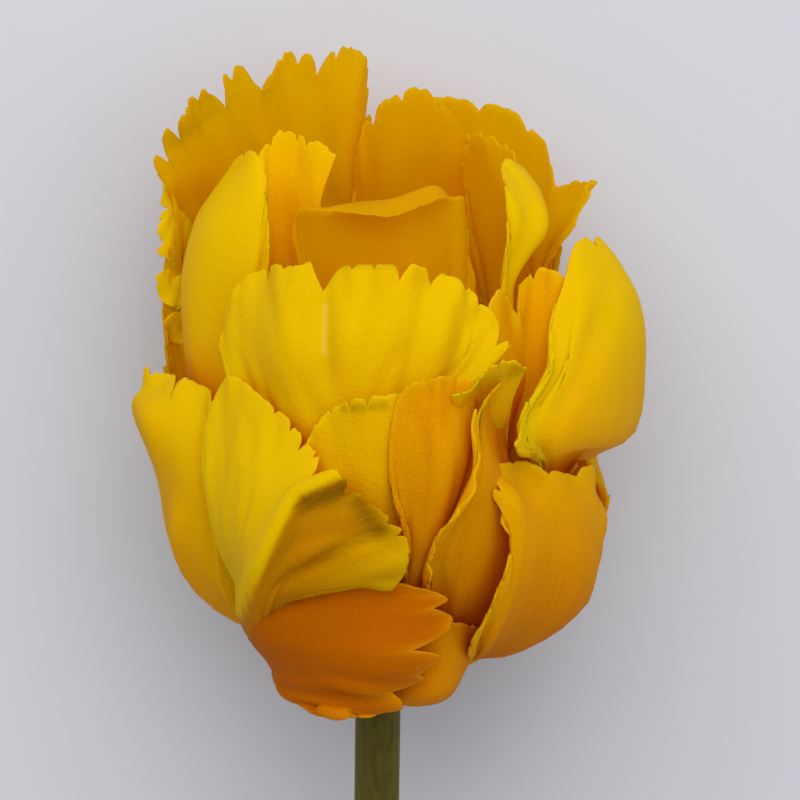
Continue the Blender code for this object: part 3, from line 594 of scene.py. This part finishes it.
# Notches of the margins: place on the photo in pixels, half width and depth in mm
NOTCHES = {
    "lobes_left": [(160, 268, 1.6, 3), (163, 310, 1.5, 2.8), (160, 212, 0.9, 1.2), (158, 243, 0.8, 1)],
    "petal_top_fan": [
        (170, 148, 1.3, 4.2), (178, 128, 1.1, 2.6), (192, 110, 0.9, 1.6), (205, 98, 0.9, 1.5),
        (226, 92, 1.8, 4.4), (242, 62, 1.6, -1.6), (266, 84, 2.5, 4.8), (284, 60, 1, 0.9),
        (300, 62, 0.9, 1.2), (322, 73, 2, 4.4), (338, 60, 0.9, 1), (362, 46, 1.7, -2.2),
        (368, 80, 1.4, 3), (372, 112, 1.1, 1.8), (362, 128, 1.1, 2.4),
        (360, 145, 1.1, 2), (358, 165, 1.2, 2.2)],
    "petal_front_keeled": [
        (350, 494, 0.9, 1.9), (362, 510, 0.8, 1.3), (383, 530, 0.8, 1.2), (398, 539, 0.8, 1.2),
        (316, 480, 2, 3.4), (306, 436, 1, 2), (322, 448, 0.7, 1), (290, 425, 0.8, 1.2),
        (270, 412, 0.7, 0.8), (206, 540, 8, 1.5)],
    "petal_bottom_front": [
        (456, 606, 1.6, 3), (452, 645, 2.2, 4.8), (438, 674, 4.5, 2.8), (425, 695, 3.5, 4.5),
        (395, 712, 2, 2), (266, 645, 6.5, -2)],
    "petal_left_outer": [
        (182, 382, 1, 3.2), (172, 372, 0.8, -1.6), (140, 404, 1.2, 1.3), (160, 376, 0.8, 0.8),
        (224, 560, 8, -2.5)],
    "petal_left_tall": [
        (257, 172, 0.8, 1), (258, 192, 0.7, 0.8), (258, 214, 0.9, 1.1), (258, 238, 0.7, 0.8),
        (258, 262, 0.9, 1), (246, 150, 0.8, 0.8)],
    "petal_upper_front": [
        (326, 268, 1.8, 3.2), (268, 280, 1, 2.2), (291, 268, 0.6, 0.8), (353, 268, 0.5, 0.7),
        (375, 266, 0.45, 0.6), (400, 272, 1, 2.2), (428, 283, 1.1, 1.8), (478, 300, 0.8, 1.2),
        (490, 340, 1.4, 2.6), (490, 364, 1.2, 2.6), (240, 300, 1.1, 1.4), (460, 292, 1, 1.4),
        (222, 330, 0.9, 1), (310, 264, 1.2, -0.8), (500, 352, 1, -1)],
    "petal_right_big": [
        (572, 300, 0.5, 0.8), (570, 325, 0.6, 1), (568, 345, 0.6, 1.2), (566, 372, 0.8, 1.6),
        (545, 400, 0.7, 1.4), (527, 420, 0.7, 1.5), (515, 444, 0.5, 1), (590, 240, 0.7, 2.2)],
    "petal_inner_right_curl": [
        (498, 185, 0.6, 1.2), (515, 212, 1.2, 2.2), (515, 243, 0.9, 1.8), (512, 270, 0.7, 1.4)],
    "petal_inner_right_flap": [(588, 199, 0.7, 2.4), (592, 222, 0.9, 1.6), (570, 190, 0.5, 0.8)],
    "petal_back_left_fringe": [
        (172, 240, 0.9, 2.6), (176, 275, 1, 2.8), (174, 318, 0.8, 2.2), (166, 220, 0.5, 1)],
    "petal_front_spoon": [(430, 390, 0.4, 0.8), (456, 386, 0.5, 1)],
    "petal_front_mid": [(333, 412, 0.5, 0.8), (355, 408, 0.6, 1.6), (372, 408, 0.5, 1.2)],
    "petal_right_low": [
        (478, 650, 0.8, 1.6), (486, 655, 0.7, 1.6), (512, 540, 1.6, 2.4), (508, 490, 1.4, 1.8),
        (500, 590, 1.5, -1.2), (545, 468, 1.4, 1.4)],
    "petal_front_right": [
        (505, 398, 1, 2.4), (494, 400, 0.9, 2), (484, 425, 1, 1.8), (478, 450, 1.1, 1.6),
        (462, 500, 1.2, 1.4)],
    "petal_back_right_tall": [(480, 108, 1.4, 1.2), (520, 130, 1.2, 1), (545, 160, 1.4, 1.2)],
    "petal_inner_back": [(372, 112, 1.2, 2), (400, 92, 1, 1.2), (440, 104, 1.2, 1.6), (458, 130, 1, 1.4)],
}


def smooth(low, high, value):
    share = np.clip((value - low) / (high - low), 0, 1)
    return share * share * (3 - 2 * share)


def photo_place(column, line):
    """Place in mm of a pixel of the photo."""
    return (column - ROOT_PIXEL[0]) * PIXEL, (ROOT_PIXEL[1] - line) * PIXEL


def photo_scale(height):
    """How much larger a thing at a height appears on the photo."""
    return CAMERA_AWAY / (CAMERA_HEIGHT - height)


def photo_away(points, column, line):
    """Squared distance on the photo from points to a pixel, in mm."""
    scale = photo_scale(points[..., 2])
    x, y = photo_place(column, line)
    across = VIEW_X + (points[..., 0] - VIEW_X) * scale - x
    up = VIEW_Y + (points[..., 1] - VIEW_Y) * scale - y
    return across**2 + up**2


def toothed(along, length, chance, width, depth, sharp):
    """How far the margin is cut back between teeth, in mm: each has its own width, lean and reach."""
    cuts = [0.0]
    while cuts[-1] < length:
        cuts.append(cuts[-1] + width * chance.uniform(0.5, 1.6))
    depths = [depth * chance.uniform(0.25, 1.25) for _ in cuts]
    out = np.zeros_like(along)
    for k in range(len(cuts) - 1):
        inside = (along >= cuts[k]) & (along <= cuts[k + 1])
        f = ((along[inside] - cuts[k]) / (cuts[k + 1] - cuts[k]))**chance.uniform(0.7, 1.4)
        notch = np.where(f < 0.5, depths[k], depths[k + 1])
        short = depth * chance.uniform(0, 0.45)
        out[inside] = short + (notch - short) * np.abs(2 * f - 1)**(sharp * chance.uniform(0.8, 1.3))
    return out


def notched(name, margin, along, chance):
    """How far the margin is cut back at the notches seen on the photo, in mm."""
    out = np.zeros_like(along)
    for column, line, width, depth in NOTCHES.get(name, []):
        away = photo_away(margin, column, line) - HIGHER_FIRST * margin[:, 2]
        gap = along - along[away.argmin()]
        sides = np.where(gap < 0, chance.uniform(0.7, 1.4), chance.uniform(0.7, 1.4)) * width
        shape = np.clip(1 - np.abs(gap) / sides, 0, 1)
        if depth > 0:
            out = np.maximum(out, depth * shape**1.5)
        else:
            out = out + depth * smooth(0, 1, shape)
    return out


def waving(along, climb, chance, length):
    """Uneven wave over a blade, about -1 to 1: its crests lean as they go down."""
    total = np.zeros(np.broadcast(along, climb).shape)
    for _ in range(6):
        turn = 2 * math.pi * along / (length * chance.uniform(0.6, 1.8))
        total += 0.42 * np.sin(turn + chance.uniform(0, 6.28) + climb * chance.uniform(-5, 5))
    return total


def tree_of(grids):
    points = []
    faces = []
    for grid in grids:
        start = len(points)
        points.extend(grid.reshape(-1, 3).tolist())
        faces.extend([tuple(c + start for c in t) for t in grid_triangles(*grid.shape[:2])])
    return BVHTree.FromPolygons(points, faces)


def clearances(grids):
    """Distance from each grid point to the nearest other petal."""
    clear = {}
    for one in grids:
        tree = tree_of([grids[other] for other in grids if other != one])
        found = []
        for p in grids[one].reshape(-1, 3):
            place, normal, face, distance = tree.find_nearest(Vector(p), CLEAR)
            found.append(CLEAR if place is None else distance)
        clear[one] = np.array(found).reshape(grids[one].shape[:2])
    return clear


def shaded(place, normal, sky, tree):
    """Share of the sky that a face cannot see."""
    seen = 0.0
    total = 0.0
    for way in sky:
        slant = way.dot(normal)
        if slant > 0.05:
            total += slant
            if tree.ray_cast(place + normal * 0.5, way, SKY_FAR)[0] is None:
                seen += slant
    return 1 - seen / max(total, 1e-6)


def painted_shade_from_sky(grids, outward):
    """Share of the open sky that petals hide from the two faces of each petal, at its grid points, used as
    painted shade.
    """
    tree = tree_of(grids.values())
    chance = random.Random("sky")
    sky = []
    while len(sky) < SKY_WAYS:
        way = Vector([chance.gauss(0, 1) for _ in range(3)]).normalized()
        if way.z > LOWEST_SKY:
            sky.append(way)
    found = {}
    for name, grid in grids.items():
        facing = grid_normals(grid) * outward[name]
        found[name] = []
        for side in (1, -1):
            painted_shade = np.zeros(grid.shape[:2])
            for place in np.ndindex(grid.shape[:2]):
                painted_shade[place] = shaded(Vector(grid[place]), Vector(facing[place] * side), sky, tree)
            found[name].append(painted_shade)
    return found


def pushed(name, points):
    total = np.zeros_like(points)
    for column, line, radius, way in PUSHES.get(name, []):
        share = np.exp(-photo_away(points, column, line) / radius**2)
        total += share[..., None] * np.array(way)
    return points + total


def lobe_grid(lines):
    """Sheet of veins x rows through lines given in photo pixels and height in mm."""
    net = np.array(lines, dtype=float)
    scale = photo_scale(net[..., 2])
    x, y = photo_place(net[..., 0], net[..., 1])
    net[..., 0] = VIEW_X + (x - VIEW_X) / scale
    net[..., 1] = VIEW_Y + (y - VIEW_Y) / scale
    down = np.linspace(0, len(lines) - 1, ROWS)
    across = np.linspace(0, len(lines[0]) - 1, LOBE_VEINS)
    row, column = np.meshgrid(down, across)
    return blend(net, row, column)


def line_distance(points, line):
    """Distance in plan from points to a line of points, and on which side of it they are."""
    best = np.full(points.shape[:-1], 1e9)
    side = np.zeros(points.shape[:-1])
    for a, b in zip(line[:-1], line[1:]):
        a = np.array(a)
        run = np.array(b) - a
        flat = points[..., :2] - a
        share = np.clip(flat @ run / (run @ run), 0, 1)
        distance = np.linalg.norm(flat - share[..., None] * run, axis=-1)
        nearer = distance < best
        best = np.where(nearer, distance, best)
        side = np.where(nearer, np.sign(flat[..., 0] * run[1] - flat[..., 1] * run[0]), side)
    return best, side


def marked(name, kind, points):
    total = np.zeros(points.shape[:-1])
    for what, line, width, strength in MARKS.get(name, []):
        if what == kind:
            distance = line_distance(points, line)[0]
            total = np.maximum(total, strength * np.exp(-(distance / width)**2))
    return total


def ride(thing, nodes):
    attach(thing, "root")
    if nodes:
        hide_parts(*nodes)


def blade_faces(across, outward):
    """Quads of a blade's outer face, inner face and rim."""
    line = DOWN + 1
    count = (across + 1) * line
    faces = []
    for i in range(across):
        for k in range(DOWN):
            a = i * line + k
            quad = (a, a + 1, a + line + 1, a + line)
            if outward > 0:
                quad = quad[::-1]
            faces += [quad, tuple(count + c for c in reversed(quad))]
    rim = [i * line for i in range(across)]
    rim += [across * line + k for k in range(DOWN)]
    rim += [i * line + DOWN for i in range(across, 0, -1)]
    rim += list(range(DOWN, 0, -1))
    for a, b in zip(rim, rim[1:] + rim[:1]):
        quad = (a, b, count + b, count + a)
        faces.append(quad if outward < 0 else quad[::-1])
    return faces


def paint(mesh, name, channels):
    layer = mesh.color_attributes.new(name, "FLOAT_COLOR", "POINT")
    channels = channels + [np.ones_like(channels[0])]
    layer.data.foreach_set("color", np.stack(channels, axis=-1).ravel())


def paint_blade(mesh, name, middle, climb, from_edge, depth):
    """Layers for the material: margin, climb and brown marks; rim, painted shade and pale marks; painted
    shade where petals hide the sky.
    """
    shade = np.zeros_like(climb)
    brown = marked(name, "brown", middle)
    # Painted shade to the right of the keel, fading away from it; the brown marks are kept mostly to that
    # shaded side
    if name == "petal_front_keeled":
        near, side = line_distance(middle, KEEL)
        right = smooth(-0.3, 0.5, near * side)
        shade = right * (1 - 0.55 * smooth(4, 13, near))
        brown = brown * (0.15 + 0.85 * right)
    zone = [np.exp(-from_edge / MARGIN_TINT), np.clip(climb, 0, 1), brown]
    tone = [np.exp(-from_edge / RIM_TINT), shade, marked(name, "pale", middle)]
    paint(mesh, "zone", [np.tile(c.ravel(), 2) for c in zone])
    paint(mesh, "tone", [np.tile(c.ravel(), 2) for c in tone])
    # Painted shade: deeper orange where other petals hide the sky
    paint(mesh, "inside", [np.clip(depth, 0, 1)] * 3)


def fine_petal(name, grid, outward, clear, painted_shade, material):
    """Petal with fine teeth and ruffles: outer and inner faces and a thin rim."""
    finger, finger_depth, tooth, tooth_depth, ruffle, curl = LOOKS[name][:6]
    chance = random.Random(name + " fringe")
    veins, rows = grid.shape[:2]
    edge = grid[:, -1]
    run = run_along(edge)
    length = run[-1]
    across = int(np.clip(length / STEP, *POINTS_ALONG))
    along = np.linspace(0, length, across + 1)
    vein = np.interp(along, run, np.arange(veins))
    last = np.linalg.norm(edge - grid[:, -2], axis=1)
    row_mm = np.maximum(np.interp(vein, np.arange(veins), last), SHORTEST_ROW)
    from_ends = np.minimum(along, length - along)
    ends = smooth(0, ENDS * length, from_ends)
    if name in NOTCHES:
        finger_depth = BESIDE_NOTCHES * finger_depth
    cut = toothed(along, length, chance, finger, finger_depth, FINGER_SHARP)
    cut += toothed(along, length, chance, tooth, tooth_depth, TOOTH_SHARP)
    margin = np.stack([np.interp(along, run, edge[:, c]) for c in range(3)], axis=-1)
    grown = (0.5 * finger_depth - cut) * ends
    grown -= notched(name, margin, along, chance) * smooth(0, 0.05 * length, from_ends)
    reach = rows - 1 + np.clip(grown / row_mm, *REACH)
    q = np.linspace(0, 1, DOWN + 1)
    row = (rows - 1) * (1 - (1 - q)**1.3)
    row = row + (reach - (rows - 1))[:, None] * smooth(0.5, 1.0, q)
    column = np.repeat(vein[:, None], DOWN + 1, axis=1)
    middle = pushed(name, blend(grid, column, row))

    def spread(values):
        three = np.repeat(values[..., None], 3, axis=2)
        return blend(three, column, np.clip(row, 0, rows - 1))[..., 0]

    climb = row / (rows - 1)
    across_mm = along[:, None]
    swell = ruffle * waving(across_mm, climb, chance, LONG_WAVE) * smooth(0.55, 1.0, climb)**1.4
    swell += 0.4 * ruffle * waving(across_mm, climb, chance, SHORT_WAVE) * smooth(0.8, 1.0, climb)**1.4
    folds = 0.35 * waving(across_mm, climb * 2, chance, FOLD) * smooth(0.1, 0.4, climb)
    puckers = waving(across_mm, climb, chance, PUCKER)
    puckers = puckers * waving(climb * 30, across_mm / PUCKER, chance, LONG_WAVE)
    folds = (0.4 + ruffle) * (folds + 0.25 * puckers * smooth(0.25, 0.5, climb))
    lift = (swell + folds) * ends[:, None] + curl * smooth(0.75, 1.05, climb)**2
    limit = np.clip(0.42 * (spread(clear) - 0.6), 0.08, 3.0)
    lift = limit * np.tanh(lift / limit)
    normals = grid_normals(middle) * outward
    for line, width, height in RIDGES.get(name, []):
        near = np.exp(-(line_distance(middle, line)[0] / width)**2) * smooth(0.15, 0.4, climb)
        lift = lift + height * near * np.sign((normals[..., 2] * near).sum())
    middle = middle + normals * lift[..., None]
    normals = grid_normals(middle) * outward
    middle[..., 2] = np.maximum(middle[..., 2], TABLE + BLADE / 2)
    thick = RIM + (BLADE - RIM) * smooth(0.0, 0.25, 1.02 - climb)
    half = normals * (thick / 2)[..., None]
    outer = middle + half
    outer[..., 2] = np.maximum(outer[..., 2], TABLE + OFF_TABLE)
    points = np.concatenate([outer.reshape(-1, 3), (middle - half).reshape(-1, 3)])
    mesh = bpy.data.meshes.new(name + "_blade")
    mesh.from_pydata(((points - SHIFT) * MM).tolist(), [], blade_faces(across, outward))
    mesh.update()
    mesh.materials.append(material)
    mesh.polygons.foreach_set("use_smooth", [True] * len(mesh.polygons))
    from_edge = np.maximum((reach[:, None] - row) * row_mm[:, None], 0)
    # Painted shade: share of the sky that other petals hide from each face, which the material turns deeper
    # orange
    depth = np.concatenate([spread(side).ravel() for side in painted_shade])
    paint_blade(mesh, name, middle, climb, from_edge, depth)
    uv = mesh.uv_layers.new(name="vein")
    u = np.repeat((along - length / 2)[:, None] / UV_MM, DOWN + 1, axis=1) + 3
    flat = np.tile(np.stack([u, climb], axis=-1).reshape(-1, 2), (2, 1))
    corners = np.zeros(len(mesh.loops), dtype=np.int32)
    mesh.loops.foreach_get("vertex_index", corners)
    uv.data.foreach_set("uv", flat[corners].ravel())
    thing = bpy.data.objects.new(name + "_blade", mesh)
    scene.collection.objects.link(thing)
    return thing


def feed(tree, socket, value):
    """Links an input to an output, or gives it a value."""
    if isinstance(value, bpy.types.NodeSocket):
        tree.links.new(value, socket)
    else:
        socket.default_value = value


def add_node(tree, kind, inputs):
    made = tree.nodes.new("ShaderNode" + kind)
    for name, value in inputs.items():
        feed(tree, made.inputs[name], value)
    return made


def mixed(tree, factor, first, second, kind="MIX"):
    """Colour mix: each of the three is a socket or a value."""
    mix = tree.nodes.new("ShaderNodeMix")
    mix.data_type = "RGBA"
    mix.blend_type = kind
    feed(tree, mix.inputs[0], factor)
    for socket, value in ((6, first), (7, second)):
        if isinstance(value, tuple):
            value = (*value, 1)
        feed(tree, mix.inputs[socket], value)
    return mix.outputs[2]


def reckon(tree, operation, first, second=0.0, third=0.0, clamp=False):
    sums = tree.nodes.new("ShaderNodeMath")
    sums.operation = operation
    sums.use_clamp = clamp
    for socket, value in enumerate((first, second, third)):
        feed(tree, sums.inputs[socket], value)
    return sums.outputs[0]


def ramp(tree, value, low, high):
    made = add_node(tree, "MapRange", {"Value": value, "From Min": low, "From Max": high})
    made.interpolation_type = "SMOOTHSTEP"
    return made.outputs["Result"]


def noise(tree, where, scale, detail, roughness=0.5):
    inputs = {"Vector": where, "Scale": scale, "Detail": detail, "Roughness": roughness}
    return add_node(tree, "TexNoise", inputs).outputs["Fac"]


def stretched(tree, where, scale):
    return add_node(tree, "Mapping", {"Vector": where, "Scale": scale}).outputs["Vector"]


def bump(tree, height, strength, distance, before=None):
    made = add_node(tree, "Bump", {"Height": height, "Strength": strength, "Distance": distance})
    if before is not None:
        feed(tree, made.inputs["Normal"], before)
    return made.outputs["Normal"]


def attribute(tree, name):
    """The three channels of a painted layer."""
    layer = tree.nodes.new("ShaderNodeAttribute")
    layer.attribute_name = name
    parts = add_node(tree, "SeparateColor", {"Color": layer.outputs["Color"]})
    return list(parts.outputs)


def new_material(name, inputs):
    """A material, its node tree and its main shader, with some inputs set."""
    material = bpy.data.materials.new(name)
    material.use_nodes = True
    tree = material.node_tree
    shader = tree.nodes["Principled BSDF"]
    for socket, value in inputs.items():
        shader.inputs[socket].default_value = value
    return material, tree, shader


def petal_material(name):
    green_edge, tone, depth = LOOKS[name][6:]
    look = {"Roughness": 0.55, "Specular IOR Level": 0.07, "Specular Tint": (*SHINE, 1)}
    material, tree, shader = new_material(name, look)
    coords = add_node(tree, "TexCoord", {}).outputs
    edge, climb, brown = attribute(tree, "zone")
    rim, shade, pale = attribute(tree, "tone")
    # Painted shade: share of the sky hidden by petals
    inside = attribute(tree, "inside")[0]
    streak = noise(tree, stretched(tree, coords["UV"], (60, 1.6, 1)), 1.0, 4.0, 0.6)
    broad = noise(tree, stretched(tree, coords["UV"], (9, 0.8, 1)), 1.0, 2.0)
    cloud = noise(tree, coords["Object"], 60.0, 3.0)
    grain = noise(tree, coords["Object"], 2600.0, 2.0)
    # Orange amount: per-petal tone and orange towards the root, partly painted shade
    low = reckon(tree, "SUBTRACT", 1.0, ramp(tree, climb, 0.2, 0.85))
    parts = (
        (low, depth),
        # painted shade where petals hide the sky
        (ramp(tree, inside, 0.35, 1.0), 0.38),
        (reckon(tree, "SUBTRACT", streak, 0.5), 0.30),
        (reckon(tree, "SUBTRACT", broad, 0.5), 0.22),
        # painted shade beside the keel
        (shade, 0.5),
        (edge, -0.22),
    )
    orange = tone
    for value, weight in parts:
        orange = reckon(tree, "MULTIPLY_ADD", value, weight, orange)
    scale = add_node(tree, "ValToRGB", {"Fac": orange})
    stops = scale.color_ramp.elements
    stops[0].color = (*YELLOW, 1)
    stops[1].color = (*DEEP_ORANGE, 1)
    for place, shown in ((0.35, GOLD), (0.7, ORANGE)):
        stops.new(place).color = (*shown, 1)
    green = reckon(tree, "MULTIPLY", edge, ramp(tree, cloud, 0.35, 0.65))
    green = reckon(tree, "MULTIPLY", green, green_edge)
    colour = mixed(tree, green, scale.outputs["Color"], GREEN)
    colour = mixed(tree, reckon(tree, "MULTIPLY", rim, 0.22), colour, BRIGHT)
    if name in MARKS:
        # Brown marks, which on the keeled petal are painted shade, and amber painted shade beside the keel
        lines = reckon(tree, "MULTIPLY", brown, ramp(tree, streak, 0.1, 0.6), clamp=True)
        colour = mixed(tree, reckon(tree, "MULTIPLY", shade, 0.45), colour, SHADE_AMBER)
        colour = mixed(tree, reckon(tree, "MULTIPLY", lines, 0.9), colour, BROWN)
        colour = mixed(tree, pale, colour, PALE)
    grey = add_node(tree, "CombineColor", {"Red": grain, "Green": grain, "Blue": grain}).outputs[0]
    colour = mixed(tree, 0.2, colour, grey, "OVERLAY")
    feed(tree, shader.inputs["Base Color"], colour)
    veins = bump(tree, streak, 0.13, 0.0004)
    feed(tree, shader.inputs["Normal"], bump(tree, grain, 0.7, 0.00016, veins))
    share, glow = (0.76, GLOW_YELLOW) if name in BACKLIT else (0.45, GLOW_ORANGE)
    through = add_node(tree, "BsdfTranslucent", {"Color": mixed(tree, 0.5, colour, glow), "Normal": veins})
    both = add_node(tree, "MixShader", {"Fac": share})
    feed(tree, both.inputs[1], shader.outputs[0])
    feed(tree, both.inputs[2], through.outputs[0])
    feed(tree, tree.nodes["Material Output"].inputs["Surface"], both.outputs[0])
    return material


def green_material(name, dark, light, streaks):
    look = {"Roughness": 0.55, "Specular IOR Level": 0.15}
    look.update({"Sheen Weight": 0.12, "Sheen Roughness": 0.5, "Sheen Tint": (0.8, 0.75, 0.2, 1)})
    material, tree, shader = new_material(name, look)
    coords = add_node(tree, "TexCoord", {}).outputs
    lines = noise(tree, stretched(tree, coords["Object"], streaks), 1.0, 4.0, 0.6)
    cloud = noise(tree, coords["Object"], 90.0, 3.0)
    colour = mixed(tree, ramp(tree, lines, 0.3, 0.7), dark, light)
    colour = mixed(tree, reckon(tree, "MULTIPLY", cloud, 0.3), colour, light)
    feed(tree, shader.inputs["Base Color"], colour)
    feed(tree, shader.inputs["Normal"], bump(tree, lines, 0.2, 0.0003))
    return material


def area_light(name, where, size, power, colour):
    data = bpy.data.lights.new(name, "AREA")
    data.shape = "DISK"
    data.size = size
    data.energy = power
    data.color = colour
    lamp = bpy.data.objects.new(name, data)
    lamp.location = where
    lamp.rotation_euler = (Vector(where) - Vector(LIT_PLACE)).to_track_quat("Z", "Y").to_euler()
    scene.collection.objects.link(lamp)


# Petals
grids = {}
outward = {}
places = {}
for petal in PETALS:
    grids[petal], outward[petal], places[petal] = petal_grid(petal)
grids = ease_apart(grids, places, EASING_ROUNDS)
clear = clearances(grids)
# Painted shade: share of the sky that petals hide from each face
painted_shade = painted_shade_from_sky(grids, outward)
for petal in PETALS:
    look = petal_material(petal)
    blade = fine_petal(petal, grids[petal], outward[petal], clear[petal], painted_shade[petal], look)
    ride(blade, [petal])
for lobe, lines in LOBES.items():
    grid = lobe_grid(lines)
    bare = np.zeros(grid.shape[:2])
    blade = fine_petal(lobe, grid, 1.0, bare + LOBE_CLEAR, [bare, bare], petal_material(lobe))
    ride(blade, [])

# Stem, pistil and stamens: material, nodes, dark and light colour, and fineness of the streaks along x, y, z
STAMENS = ["stamen_%d" % number for number in range(1, 7)]
for name, nodes, dark, light, streaks in (
    ("stem_green", ["stem"], (0.052, 0.042, 0.001), (0.085, 0.072, 0.004), (900, 25, 900)),
    ("pistil_green", ["pistil"], (0.3, 0.36, 0.08), (0.45, 0.5, 0.16), (700, 90, 90)),
    ("anther_dark", STAMENS, (0.12, 0.07, 0.02), (0.3, 0.2, 0.06), (1500, 1500, 1500)),
):
    look = green_material(name, dark, light, streaks)
    for node in nodes:
        bpy.data.objects[node].material_slots[0].material = look

# Floor
bpy.ops.mesh.primitive_plane_add(size=6, location=(0, 0, 0))
floor = bpy.context.object
floor.name = "floor"
grey = {"Base Color": (0.53, 0.54, 0.575, 1), "Roughness": 0.9, "Specular IOR Level": 0.1}
floor.data.materials.append(new_material("floor", grey)[0])

# Light
area_light("key", (-0.2, 1.0, 1.05), 2.0, 18, (1.0, 0.985, 0.96))
area_light("fill", (0.6, 0.3, 1.2), 1.6, 6, (1.0, 0.99, 0.97))
world = bpy.data.worlds.new("studio")
scene.world = world
world.use_nodes = True
sky_light = world.node_tree.nodes["Background"].inputs
sky_light["Color"].default_value = (0.93, 0.95, 1.0, 1)
sky_light["Strength"].default_value = 0.6

# Camera, which looks straight down
view = bpy.data.cameras.new("camera")
view.lens = 250
view.sensor_width = 36
camera = bpy.data.objects.new("camera", view)
camera.location = (np.array([VIEW_X, VIEW_Y, CAMERA_HEIGHT]) - SHIFT) * MM
scene.collection.objects.link(camera)
scene.camera = camera
scene.view_settings.view_transform = "Standard"
